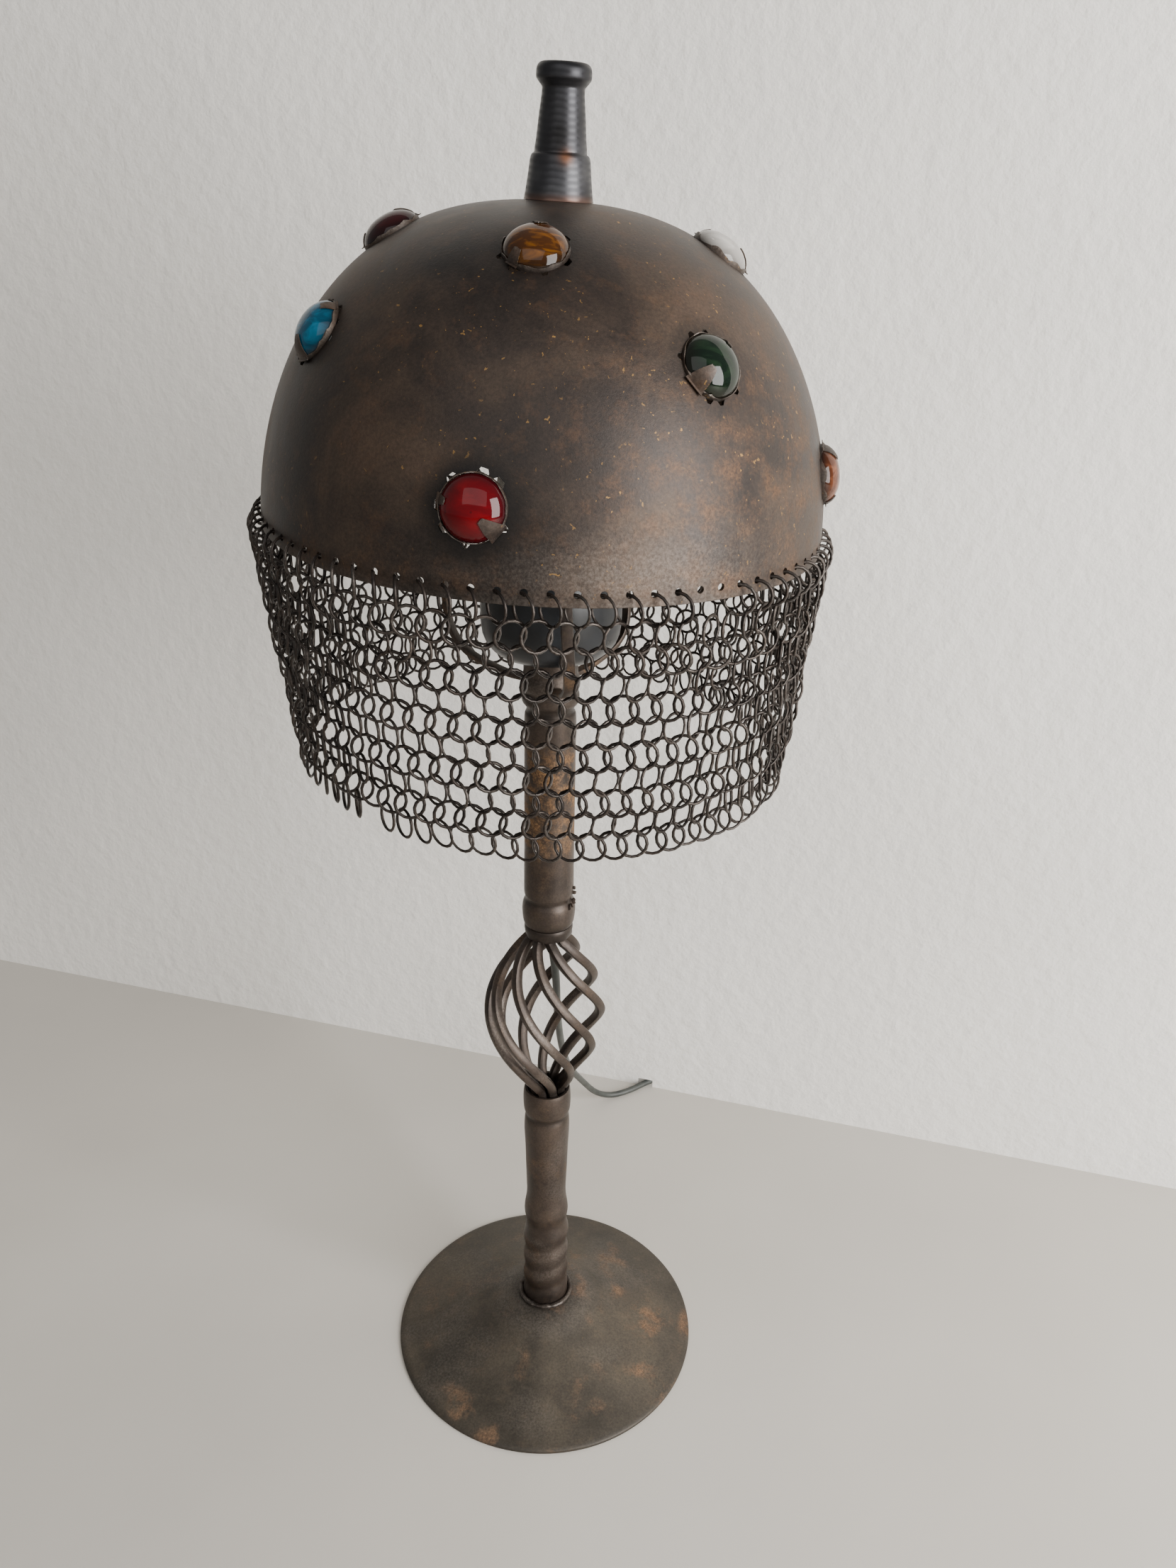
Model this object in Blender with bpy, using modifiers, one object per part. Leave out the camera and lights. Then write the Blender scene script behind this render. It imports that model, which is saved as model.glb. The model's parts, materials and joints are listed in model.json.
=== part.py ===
"""A wrought-iron table lamp whose shade is a knight's helmet: a round skull set with glass cabochons,
a turned plume holder on top and a skirt of mail below, on a stem with a twisted basket.

Units are metres, +Z is up. The lamp stands on Z = 0 with its stem on the Z axis, and its front is -Y.
Azimuths are measured from the front, positive towards +X.
"""

import bmesh
import bpy
from math import acos, cos, hypot, pi, radians, sin
from mathutils import Matrix, Vector

# Clearances
GAP = 0.0003  # between pieces that touch

# Base and stem
BASE_R = 0.0801
BASE_TOP = 0.0260
SHEET = 0.0013  # thickness of the base's and the helmet's sheet
STEM_FOOT = BASE_TOP + GAP
STEM_R = 0.0114
STEM_BORE = 0.0086
MOUTH_Z = 0.1656  # top of the lower stem, which the basket's bars go into
MOUTH_BORE = 0.0098
ROPE_TOP = 0.0775  # four slanted rope beads at the foot of the stem
ROPE_FOOT = 0.0272
COLLAR_Z = 0.2558  # lower edge of the collar over the basket's bars
TUBE_FOOT = 0.2617
STEM_HEAD = 0.3925  # top of the upper tube

# Twisted basket
BAR_COUNT = 8
BAR_D = 0.0046
BASKET_TOP = 0.2542
BASKET_BOTTOM = 0.1668
BASKET_R = 0.0268  # widest, at the middle of the bars
BASKET_OFF = 0.0015  # how far the middle of the basket stands to the left
NECK_R = 0.0072
BAR_TURN = 2.628  # radians from top to bottom
BAR_START = -1.493

# Helmet: its own axis leans a little from the stem's
RIM_Z = 0.4489
HELMET_X = -0.0032
LEAN_X = 0.0390
LEAN_Y = -0.0234
SKULL_R = 0.1102
SKULL_H = 0.1168
SKULL_FULLNESS = 0.818  # 1 is an ellipsoid, and less is fuller at the shoulder

# Glass cabochons: rows as (name, angle up the skull, azimuths, colours)
GEM_R = 0.0109
GEM_HOLE_R = 0.0114
GEM_ROWS = (
    ("low", 14.6, (-12.4, 78.3, 168.0, 258.0), ("red", "amber", "blue", "green")),
    ("middle", 38.2, (-62.7, 34.7, 120.0, 210.0), ("blue", "green", "amber", "red")),
    ("high", 61.8, (-6.5, 86.0, 176.0, 273.0), ("amber", "clear", "green", "red")),
)

# Mail skirt: the outside of the hanging rings
MAIL_TOP_R = 0.1145
MAIL_BOTTOM_R = 0.1020
MAIL_THICK = 0.0060
MAIL_DROP = 0.0960

# Harp, its crown and the stud that holds the helmet
STRAP_W = 0.0048
STRAP_T = 0.0022
STRAP_AZIMUTHS = {"front": 10.0, "left": -110.0, "rear": 132.0}
CROWN_R = 0.0130
CROWN_Z = 0.1108  # along the helmet's axis, above the rim
CROWN_T = 0.0030
STUD_R = 0.0039

# Lamp fittings
CUP_R = 0.0295
CUP_Z = STEM_HEAD + GAP
HOLDER_R = 0.0195
HOLDER_Z = CUP_Z + 0.0030
BULB_R = 0.0225
BULB_CAP_R = 0.0132

# Cord: a hand-chosen route from the stem to the coil, and from the coil to the plug
CORD_D = 0.0040
CORD_STEP = 0.0100
CORD_EXIT_Z = 0.2700
CORD_ROUTE = (
    (0.0000, 0.0000, CORD_EXIT_Z),
    (0.0000, 0.0001, 0.2620),
    (0.0018, 0.0052, 0.2440),
    (0.0034, 0.0138, 0.2260),
    (0.0043, 0.0250, 0.2070),
    (0.0048, 0.0385, 0.1870),
    (0.0058, 0.0545, 0.1640),
    (0.0078, 0.0760, 0.1340),
    (0.0112, 0.0990, 0.1040),
    (0.0160, 0.1240, 0.0760),
    (0.0212, 0.1470, 0.0520),
    (0.0268, 0.1660, 0.0310),
    (0.0318, 0.1790, 0.0160),
    (0.0375, 0.1868, 0.0068),
    (0.0450, 0.1905, 0.0028),
    (0.0530, 0.1935, 0.0023),
    (0.0620, 0.1985, 0.0023),
    (0.0705, 0.2045, 0.0023),
    (0.0790, 0.2090, 0.0023),
    (0.0880, 0.2112, 0.0023),
)
COIL_AT = (0.1000, 0.2400)
COIL_MID_R = 0.0220
COIL_WIDE = 0.0126
COIL_HIGH = 0.0163
TAIL_ROUTE = (
    (0.0973, 0.2708, 0.0062),
    (0.0930, 0.2715, 0.0066),
    (0.0870, 0.2722, 0.0071),
)
PLUG_L = 0.0340
PLUG_W = 0.0260
PLUG_T = 0.0136
PIN_L = 0.0190
PIN_SPREAD = 0.0190

# Finishes: colour, roughness, metallic
FINISHES = {
    "oxidised_iron": ((0.070, 0.052, 0.042), 0.55, 0.85),
    "waxed_iron": ((0.095, 0.078, 0.068), 0.48, 0.85),
    "turned_steel": ((0.060, 0.066, 0.078), 0.38, 0.90),
    "iron_wire": ((0.060, 0.050, 0.044), 0.45, 0.90),
    "black_enamel": ((0.012, 0.013, 0.016), 0.30, 0.00),
    "zinc_steel": ((0.420, 0.420, 0.410), 0.35, 1.00),
    "bulb_glass": ((0.900, 0.900, 0.880), 0.25, 0.00),
    "cord_sheath": ((0.045, 0.050, 0.048), 0.55, 0.00),
    "plug_plastic": ((0.020, 0.020, 0.022), 0.40, 0.00),
    "pin_brass": ((0.700, 0.520, 0.220), 0.30, 1.00),
    "glass_red": ((0.450, 0.010, 0.015), 0.06, 0.00),
    "glass_amber": ((0.450, 0.170, 0.030), 0.06, 0.00),
    "glass_green": ((0.020, 0.110, 0.055), 0.06, 0.00),
    "glass_blue": ((0.020, 0.220, 0.360), 0.06, 0.00),
    "glass_clear": ((0.620, 0.610, 0.600), 0.06, 0.00),
}


# Scene and helpers


def clear_scene():
    for obj in list(bpy.data.objects):
        bpy.data.objects.remove(obj, do_unlink=True)


def add_collection(name, hidden=False):
    collection = bpy.data.collections.new(name)
    bpy.context.scene.collection.children.link(collection)
    collection.hide_render = hidden
    return collection


def finish_of(name):
    material = bpy.data.materials.get(name)
    if material is None:
        colour, roughness, metallic = FINISHES[name]
        material = bpy.data.materials.new(name)
        material.use_nodes = True
        shader = material.node_tree.nodes["Principled BSDF"]
        shader.inputs["Base Color"].default_value = (*colour, 1.0)
        shader.inputs["Roughness"].default_value = roughness
        shader.inputs["Metallic"].default_value = metallic
        material.diffuse_color = (*colour, 1.0)
    return material


def add_object(name, data, finish, parent=None, smooth=True):
    obj = bpy.data.objects.new(name, data)
    PARTS.objects.link(obj)
    data.materials.append(finish_of(finish))
    if smooth and isinstance(data, bpy.types.Mesh):
        data.shade_smooth()
        data.set_sharp_from_angle(angle=radians(35))
    if parent is not None:
        obj.parent = parent
    return obj


def mesh_from(builder, name):
    mesh = bpy.data.meshes.new(name)
    builder.to_mesh(mesh)
    builder.free()
    return mesh


def turned(name, profile, finish, steps=24, parent=None, closed=True):
    """A turned solid from (radius, height) points that run down the outer side and back up the bore."""
    outline = bmesh.new()
    points = [outline.verts.new((r, 0.0, z)) for r, z in profile]
    for a, b in zip(points, points[1:]):
        outline.edges.new((a, b))
    if closed:
        outline.edges.new((points[-1], points[0]))
    obj = add_object(name, mesh_from(outline, name), finish, parent)
    screw = obj.modifiers.new("turn", "SCREW")
    screw.steps = steps
    screw.render_steps = steps
    screw.use_merge_vertices = True
    screw.merge_threshold = 0.0001
    screw.use_smooth_shade = True
    return obj


def cylinder(name, radius, bottom, top, finish, segments=16, parent=None):
    body = bmesh.new()
    bmesh.ops.create_cone(
        body, cap_ends=True, segments=segments, radius1=radius, radius2=radius, depth=top - bottom
    )
    bmesh.ops.translate(body, verts=body.verts, vec=(0.0, 0.0, (top + bottom) / 2))
    return add_object(name, mesh_from(body, name), finish, parent)


def smooth_route(points, step):
    """Points about step apart along one smooth curve through the route's points."""
    route = [Vector(p) for p in points]
    ends = [2 * route[0] - route[1], *route, 2 * route[-1] - route[-2]]
    fine = []
    for a, b, c, d in zip(ends, ends[1:], ends[2:], ends[3:]):
        for i in range(20):
            t = i / 20
            fine.append(
                0.5
                * (
                    2 * b
                    + (c - a) * t
                    + (2 * a - 5 * b + 4 * c - d) * t**2
                    + (3 * b - a - 3 * c + d) * t**3
                )
            )
    fine.append(route[-1])
    length = sum((q - p).length for p, q in zip(fine, fine[1:]))
    pieces = max(2, round(length / step))
    spaced = [fine[0]]
    done = 0.0
    for p, q in zip(fine, fine[1:]):
        run = (q - p).length
        while len(spaced) < pieces and done + run >= len(spaced) * length / pieces:
            share = (len(spaced) * length / pieces - done) / run
            spaced.append(p.lerp(q, share))
        done += run
    return [*spaced, fine[-1]]


def wire(name, points, diameter, finish, resolution=2):
    """A round bar or cord along a row of points."""
    curve = bpy.data.curves.new(name, "CURVE")
    curve.dimensions = "3D"
    curve.bevel_depth = diameter / 2
    curve.bevel_resolution = resolution
    curve.use_fill_caps = True
    line = curve.splines.new("POLY")
    line.points.add(len(points) - 1)
    for place, point in zip(line.points, points):
        place.co = (*point, 1.0)
    return add_object(name, curve, finish)


def cut(obj, collection):
    boolean = obj.modifiers.new("cut", "BOOLEAN")
    boolean.operation = "DIFFERENCE"
    boolean.solver = "EXACT"
    boolean.operand_type = "COLLECTION"
    boolean.collection = collection


def around(azimuth, radius, height):
    return Vector((radius * sin(azimuth), -radius * cos(azimuth), height))


# Base and stem


def make_base():
    under = BASE_TOP - SHEET
    turned(
        "base_dish",
        [
            (0.0, BASE_TOP),
            (0.0152, BASE_TOP - 0.0003),
            (0.0300, 0.0196),
            (0.0500, 0.0118),
            (0.0700, 0.0050),
            (0.0785, 0.0024),
            (BASE_R, 0.0014),
            (BASE_R, 0.0),
            (BASE_R - 0.0036, 0.0),
            (BASE_R - 0.0040, 0.0010),
            (0.0700, 0.0050 - SHEET),
            (0.0500, 0.0118 - SHEET),
            (0.0300, 0.0196 - SHEET),
            (0.0152, under - 0.0003),
            (0.0, under),
        ],
        "oxidised_iron",
        steps=40,
        closed=False,
    )
    bead = [
        (0.0136 + 0.0012 * cos(a), BASE_TOP + 0.0013 + 0.0012 * sin(a))
        for a in [pi / 2 - i * pi / 4 for i in range(8)]
    ]
    turned("base_weld_ring", bead, "turned_steel", steps=24)


def make_lower_stem():
    outside = [
        (MOUTH_BORE, MOUTH_Z),
        (0.0112, MOUTH_Z),
        (0.0117, 0.1635),
        (0.0119, 0.1580),
        (0.0116, 0.1520),
        (0.0106, 0.1497),
        (0.0112, 0.1470),
        (0.0113, 0.1400),
        (0.0108, 0.1200),
        (0.0102, 0.0990),
        (0.0106, 0.0930),
        (0.0114, 0.0860),
        (0.0114, 0.0810),
    ]
    pitch = (ROPE_TOP - ROPE_FOOT) / 4
    for i in range(4):
        top = ROPE_TOP - i * pitch
        outside += [(0.0107, top), (0.0118, top - 0.35 * pitch), (0.0118, top - 0.65 * pitch)]
    outside += [(0.0112, ROPE_FOOT), (0.0120, STEM_FOOT)]
    bore = [(0.0, STEM_FOOT), (0.0, 0.1460), (MOUTH_BORE, 0.1475)]
    turned("lower_stem", outside + bore, "waxed_iron", steps=20)


def basket_radius(share):
    return NECK_R + (BASKET_R - NECK_R) * sin(pi * share**0.921) ** 1.02


def basket_bar(start):
    """One bar's points: two straight ends inside the tubes and the twisted belly between them."""
    places = []
    for i in range(15):
        share = i / 14
        angle = start + BAR_TURN * share**0.788
        height = BASKET_TOP + (BASKET_BOTTOM - BASKET_TOP) * share
        off = Vector((-BASKET_OFF * sin(pi * share), 0.0, 0.0))
        places.append(around(angle, basket_radius(share), height) + off)
    head = around(start - 0.06, NECK_R, BASKET_TOP + 0.0060)
    foot = around(start + BAR_TURN + 0.25, NECK_R, BASKET_BOTTOM - 0.0094)
    return [head, *places, foot]


def make_basket():
    for i in range(BAR_COUNT):
        start = BAR_START - i * 2 * pi / BAR_COUNT
        wire(f"basket_bar_{i + 1}", basket_bar(start), BAR_D, "waxed_iron", resolution=1)
    low, high = COLLAR_Z, TUBE_FOOT - GAP
    turned(
        "basket_collar",
        [(MOUTH_BORE, high), (0.0109, high), (0.0113, high - 0.0012), (0.0110, low), (MOUTH_BORE, low)],
        "waxed_iron",
        steps=20,
    )


def make_upper_tube():
    turned(
        "upper_tube",
        [
            (STEM_BORE, STEM_HEAD),
            (0.0116, STEM_HEAD),
            (0.0117, 0.3850),
            (0.0127, 0.3825),
            (0.0127, 0.3795),
            (0.0119, 0.3775),
            (0.0125, 0.3755),
            (0.0123, 0.3725),
            (0.0105, 0.3700),
            (0.0105, 0.3680),
            (STEM_R - 0.0002, 0.3650),
            (STEM_R + 0.0002, 0.2790),
            (0.0109, 0.2765),
            (0.0109, 0.2750),
            (0.0121, 0.2727),
            (0.0123, 0.2690),
            (0.0119, 0.2642),
            (0.0111, TUBE_FOOT),
            (STEM_BORE, TUBE_FOOT),
        ],
        "waxed_iron",
        steps=20,
    )
    turned(
        "stem_bush",
        [
            (0.0053, STEM_HEAD - 0.0005),
            (STEM_BORE - GAP, STEM_HEAD - 0.0005),
            (STEM_BORE - GAP, STEM_HEAD - 0.0103),
            (0.0053, STEM_HEAD - 0.0103),
        ],
        "zinc_steel",
        steps=16,
    )


# Lamp fittings


def make_fittings():
    turned(
        "holder_cup",
        [
            (CUP_R - 0.0010, CUP_Z + 0.0380),
            (CUP_R, CUP_Z + 0.0380),
            (CUP_R, CUP_Z + 0.0150),
            (0.0275, CUP_Z + 0.0070),
            (0.0225, CUP_Z + 0.0020),
            (0.0150, CUP_Z),
            (0.0053, CUP_Z),
            (0.0053, CUP_Z + 0.0010),
            (0.0148, CUP_Z + 0.0010),
            (0.0219, CUP_Z + 0.0029),
            (0.0267, CUP_Z + 0.0076),
            (CUP_R - 0.0010, CUP_Z + 0.0153),
        ],
        "black_enamel",
        steps=28,
    )
    turned(
        "holder_nipple",
        [
            (0.0030, STEM_HEAD + 0.0057),
            (0.0049, STEM_HEAD + 0.0057),
            (0.0049, STEM_HEAD - 0.0093),
            (0.0030, STEM_HEAD - 0.0093),
        ],
        "zinc_steel",
        steps=16,
    )
    turned(
        "lampholder",
        [
            (0.0146, HOLDER_Z + 0.0440),
            (HOLDER_R, HOLDER_Z + 0.0440),
            (HOLDER_R, HOLDER_Z),
            (0.0053, HOLDER_Z),
            (0.0053, HOLDER_Z + 0.0050),
            (0.0030, HOLDER_Z + 0.0050),
            (0.0030, HOLDER_Z + 0.0100),
            (0.0146, HOLDER_Z + 0.0100),
        ],
        "black_enamel",
        steps=24,
    )
    cap = HOLDER_Z + 0.0140
    turned(
        "bulb_cap",
        [
            (0.0, cap + 0.0270),
            (BULB_CAP_R, cap + 0.0270),
            (BULB_CAP_R, cap + 0.0040),
            (0.0070, cap + 0.0010),
            (0.0048, cap - 0.0010),
            (0.0, cap - 0.0010),
        ],
        "zinc_steel",
        steps=20,
        closed=False,
    )
    neck = cap + 0.0270 + GAP
    centre = neck + 0.0240
    first = acos(0.0125 / BULB_R)
    ball = [
        (BULB_R * cos(a), centre + BULB_R * sin(a))
        for a in [pi / 2 - i * (pi / 2 + first) / 9 for i in range(10)]
    ]
    inner = [(r * 0.95, centre + (z - centre) * 0.95) for r, z in reversed(ball)]
    inner[-1] = (0.0, inner[-1][1])
    ball[0] = (0.0, ball[0][1])
    turned(
        "bulb_glass",
        ball + [(0.0130, neck), (0.0119, neck)] + inner,
        "bulb_glass",
        steps=20,
        closed=False,
    )
    turned(
        "cord_grommet",
        [
            (0.0024, CORD_EXIT_Z - 0.0015),
            (STEM_BORE - GAP, CORD_EXIT_Z - 0.0015),
            (STEM_BORE - GAP, CORD_EXIT_Z - 0.0065),
            (0.0024, CORD_EXIT_Z - 0.0065),
        ],
        "black_enamel",
        steps=16,
    )
    cylinder("inner_flex", CORD_D / 2, CORD_EXIT_Z + GAP, HOLDER_Z + 0.0090, "cord_sheath", 12)


# Harp


def lean(height):
    """How far the helmet's axis stands from the stem's at a height, from nothing at the tube's head."""
    rise = height - RIM_Z
    share = min(1.0, max(0.0, (height - STEM_HEAD) / (RIM_Z - STEM_HEAD)))
    return Vector(((HELMET_X + LEAN_X * rise) * share, LEAN_Y * rise * share, 0.0))


def make_harp(helmet):
    crown = RIM_Z + CROWN_Z + CROWN_T / 2
    side = (
        (0.0131, 0.3812),
        (0.0200, 0.3822),
        (0.0320, 0.3862),
        (0.0400, 0.3910),
        (0.0450, 0.3990),
        (0.0462, 0.4120),
        (0.0462, 0.4500),
        (0.0455, 0.4820),
        (0.0425, 0.5080),
        (0.0370, 0.5300),
        (0.0290, 0.5480),
        (0.0210, 0.5570),
        (CROWN_R + 0.0008, crown),
    )
    for name, degrees in STRAP_AZIMUTHS.items():
        azimuth = radians(degrees)
        across = Vector((cos(azimuth), sin(azimuth), 0.0)) * STRAP_W / 2
        ribbon = bmesh.new()
        rows = []
        for point in smooth_route([(r, 0.0, z) for r, z in side], 0.0090):
            middle = around(azimuth, point.x, point.z) + lean(point.z)
            rows.append([ribbon.verts.new(middle - across), ribbon.verts.new(middle + across)])
        for (a, b), (c, d) in zip(rows, rows[1:]):
            ribbon.faces.new((a, b, d, c))
        strap = add_object(f"harp_strap_{name}", mesh_from(ribbon, name), "waxed_iron")
        solid = strap.modifiers.new("thickness", "SOLIDIFY")
        solid.thickness = STRAP_T
        solid.offset = 0.0
        solid.use_even_offset = True
    bore = STUD_R + GAP
    turned(
        "harp_crown",
        [
            (bore, CROWN_Z + CROWN_T),
            (CROWN_R, CROWN_Z + CROWN_T),
            (CROWN_R, CROWN_Z),
            (bore, CROWN_Z),
        ],
        "waxed_iron",
        steps=24,
        parent=helmet,
    )
    nut_top, nut_bottom = CROWN_Z - GAP, CROWN_Z - 0.0062
    thread = bore / cos(pi / 6)
    turned(
        "harp_nut",
        [(thread, nut_top), (0.0075, nut_top), (0.0075, nut_bottom), (thread, nut_bottom)],
        "zinc_steel",
        steps=6,
        parent=helmet,
    )
    cylinder("harp_stud", STUD_R, CROWN_Z - 0.0090, 0.1440, "zinc_steel", 12, helmet)


# Helmet


def skull_point(angle, radius=SKULL_R, height=SKULL_H):
    """Radius and height of the skull's section at an angle up from the rim."""
    return radius * max(cos(angle), 1e-6) ** SKULL_FULLNESS, height * sin(angle)


def skull_normal(angle):
    """Outward direction of the section, as (radial, upward)."""
    r0, z0 = skull_point(angle - 0.001)
    r1, z1 = skull_point(angle + 0.001)
    length = hypot(r1 - r0, z1 - z0)
    return (z1 - z0) / length, (r0 - r1) / length


def gem_places():
    for row, angle, azimuths, colours in GEM_ROWS:
        for i, (azimuth, colour) in enumerate(zip(azimuths, colours)):
            yield f"gem_{row}_{i + 1}_{colour}", radians(azimuth), radians(angle), colour


def gem_matrix(azimuth, angle):
    """Where a cabochon sits on the skull, with its own Z along the skull's normal."""
    r, z = skull_point(angle)
    out, up = skull_normal(angle)
    normal = around(azimuth, out, up)
    return Matrix.Translation(around(azimuth, r, z)) @ normal.to_track_quat("Z", "Y").to_matrix().to_4x4()


def make_skull(helmet):
    hole = STUD_R + 0.0004
    top = acos((hole / SKULL_R) ** (1 / SKULL_FULLNESS))
    shares = [0.0, 0.025, 0.06] + [0.06 + 0.94 * i / 9 for i in range(1, 10)]
    angles = [top * (1 - s) for s in shares]
    outside = [skull_point(a) for a in angles]
    inside = [skull_point(a, SKULL_R - SHEET, SKULL_H - SHEET) for a in reversed(angles)]
    outside[0] = (hole, outside[0][1])
    inside[-1] = (hole, inside[-1][1])
    skull = turned("helmet_skull", outside + inside, "oxidised_iron", steps=36, parent=helmet)
    holes = bpy.data.collections.new("gem_holes")
    CUTTERS.children.link(holes)
    for name, azimuth, angle, _ in gem_places():
        drill = bmesh.new()
        bmesh.ops.create_cone(
            drill, cap_ends=True, segments=16, radius1=GEM_HOLE_R, radius2=GEM_HOLE_R, depth=0.02
        )
        cutter = bpy.data.objects.new(f"{name}_hole", mesh_from(drill, f"{name}_hole"))
        holes.objects.link(cutter)
        cutter.parent = helmet
        cutter.matrix_local = gem_matrix(azimuth, angle)
        cutter.hide_render = True
        cutter.display_type = "WIRE"
    cut(skull, holes)


def make_gems(helmet):
    dome = [
        (GEM_R * sin(a), 0.0062 * cos(a)) for a in [i * pi / 2 / 4 for i in range(5)]
    ]
    back = [(GEM_R * 0.93, -0.0016), (GEM_R * 0.60, -0.0032), (0.0, -0.0038)]
    dome[0] = (0.0, dome[0][1])
    for name, azimuth, angle, colour in gem_places():
        gem = turned(name, dome + back, f"glass_{colour}", 12, helmet, closed=False)
        gem.matrix_local = gem_matrix(azimuth, angle)


def make_mail(helmet):
    """A sleeve of the mail's outer shape. It follows the leaning rim, but hangs straight down."""
    top = -GAP - 0.0004
    middle = (MAIL_TOP_R + MAIL_BOTTOM_R) / 2 + 0.0008
    sleeve = turned(
        "mail_skirt",
        [
            (MAIL_TOP_R - MAIL_THICK, top),
            (MAIL_TOP_R, top),
            (middle, -MAIL_DROP / 2),
            (MAIL_BOTTOM_R, -MAIL_DROP),
            (MAIL_BOTTOM_R - MAIL_THICK, -MAIL_DROP),
            (middle - MAIL_THICK, -MAIL_DROP / 2),
        ],
        "iron_wire",
        steps=36,
    )
    made = bpy.data.meshes.new_from_object(
        sleeve.evaluated_get(bpy.context.evaluated_depsgraph_get())
    )
    slope = Matrix.Identity(4)
    slope[2][0] = -LEAN_X
    slope[2][1] = -LEAN_Y
    made.transform(Matrix.Translation((HELMET_X, 0.0, RIM_Z)) @ slope)
    hung = bpy.data.objects.new("mail_skirt_hung", made)
    PARTS.objects.link(hung)
    bpy.data.objects.remove(sleeve, do_unlink=True)
    hung.name = "mail_skirt"
    hung.parent = helmet
    hung.matrix_parent_inverse = helmet.matrix_world.inverted()


def make_finial(helmet):
    seat = SKULL_H + GAP
    bore = STUD_R + GAP
    turned(
        "plume_holder",
        [
            (0.0066, seat + 0.0425),
            (0.0090, seat + 0.0425),
            (0.0097, seat + 0.0405),
            (0.0097, seat + 0.0377),
            (0.0085, seat + 0.0357),
            (0.0076, seat + 0.0342),
            (0.0092, seat + 0.0168),
            (0.0095, seat + 0.0153),
            (0.0107, seat + 0.0133),
            (0.0109, seat + 0.0108),
            (0.0121, seat + 0.0020),
            (0.0126, seat),
            (bore, seat),
            (bore, seat + 0.0300),
            (0.0060, seat + 0.0330),
        ],
        "turned_steel",
        steps=24,
        parent=helmet,
    )


# Cord


def make_cord():
    wire("cord_run", smooth_route(CORD_ROUTE, CORD_STEP), CORD_D, "cord_sheath")
    low, high, round_off = GAP, GAP + COIL_HIGH, 0.0015
    near, far = COIL_MID_R - COIL_WIDE / 2, COIL_MID_R + COIL_WIDE / 2
    ring = [
        (near + round_off, high),
        (far - round_off, high),
        (far, high - round_off),
        (far, low + round_off),
        (far - round_off, low),
        (near + round_off, low),
        (near, low + round_off),
        (near, high - round_off),
    ]
    coil = turned("cord_coil", ring, "cord_sheath", steps=24)
    coil.location = (*COIL_AT, 0.0)
    wire("cord_tail", smooth_route(TAIL_ROUTE, 0.0040), CORD_D, "cord_sheath")


def make_plug():
    end = Vector(TAIL_ROUTE[-1])
    back = end.x - GAP
    front = back - PLUG_L
    body = bmesh.new()
    bmesh.ops.create_cube(body, size=1.0)
    for corner in body.verts:
        rear = corner.co.x > 0
        width = 0.0090 if rear else PLUG_W
        thick = 0.0090 if rear else PLUG_T
        corner.co = Vector(
            (back if rear else front, end.y + corner.co.y * width, end.z + corner.co.z * thick)
        )
    plug = add_object("plug_body", mesh_from(body, "plug_body"), "plug_plastic")
    bevel = plug.modifiers.new("rounding", "BEVEL")
    bevel.width = 0.0020
    bevel.segments = 2
    for side, sign in (("1", -1), ("2", 1)):
        pin = cylinder(f"plug_pin_{side}", 0.0020, 0.0, PIN_L, "pin_brass", 12)
        pin.rotation_euler = (0.0, -pi / 2, 0.0)
        pin.location = (front - GAP, end.y + sign * PIN_SPREAD / 2, end.z)


clear_scene()
PARTS = add_collection("knight_helmet_lamp")
CUTTERS = add_collection("cutters", hidden=True)

helmet_axis = bpy.data.objects.new("helmet_axis", None)
PARTS.objects.link(helmet_axis)
helmet_axis.location = (HELMET_X, 0.0, RIM_Z)
helmet_axis.rotation_mode = "QUATERNION"
helmet_axis.rotation_quaternion = Vector((0.0, 0.0, 1.0)).rotation_difference(
    Vector((LEAN_X, LEAN_Y, 1.0))
)
bpy.context.view_layer.update()

make_base()
make_lower_stem()
make_basket()
make_upper_tube()
make_fittings()
make_harp(helmet_axis)
make_skull(helmet_axis)
make_gems(helmet_axis)
make_mail(helmet_axis)
make_finial(helmet_axis)
make_cord()
make_plug()
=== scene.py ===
import json
from math import atan2, cos, exp, hypot, pi, radians, sin
from random import Random

import bmesh
import bpy
from mathutils import Matrix, Vector, noise


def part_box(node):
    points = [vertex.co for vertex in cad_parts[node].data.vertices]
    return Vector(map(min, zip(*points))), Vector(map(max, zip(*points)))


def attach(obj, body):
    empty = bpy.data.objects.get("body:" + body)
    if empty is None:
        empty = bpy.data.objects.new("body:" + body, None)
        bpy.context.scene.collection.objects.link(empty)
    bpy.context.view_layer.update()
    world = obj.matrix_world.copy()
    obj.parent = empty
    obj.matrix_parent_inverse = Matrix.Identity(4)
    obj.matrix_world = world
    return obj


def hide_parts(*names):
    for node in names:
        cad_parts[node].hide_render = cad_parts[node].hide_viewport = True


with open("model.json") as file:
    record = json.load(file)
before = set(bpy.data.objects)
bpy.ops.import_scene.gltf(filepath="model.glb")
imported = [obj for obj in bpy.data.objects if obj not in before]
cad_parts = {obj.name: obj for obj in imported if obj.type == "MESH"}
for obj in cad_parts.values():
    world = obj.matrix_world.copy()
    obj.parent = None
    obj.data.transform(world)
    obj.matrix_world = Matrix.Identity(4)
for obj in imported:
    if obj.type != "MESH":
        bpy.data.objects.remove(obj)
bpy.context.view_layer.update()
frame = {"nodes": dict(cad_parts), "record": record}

mm = 0.001


# Shared places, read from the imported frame

def jointNamed(name):
    return next(j for j in frame["record"]["behaviour"]["joints"] if j["name"] == name)


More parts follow.
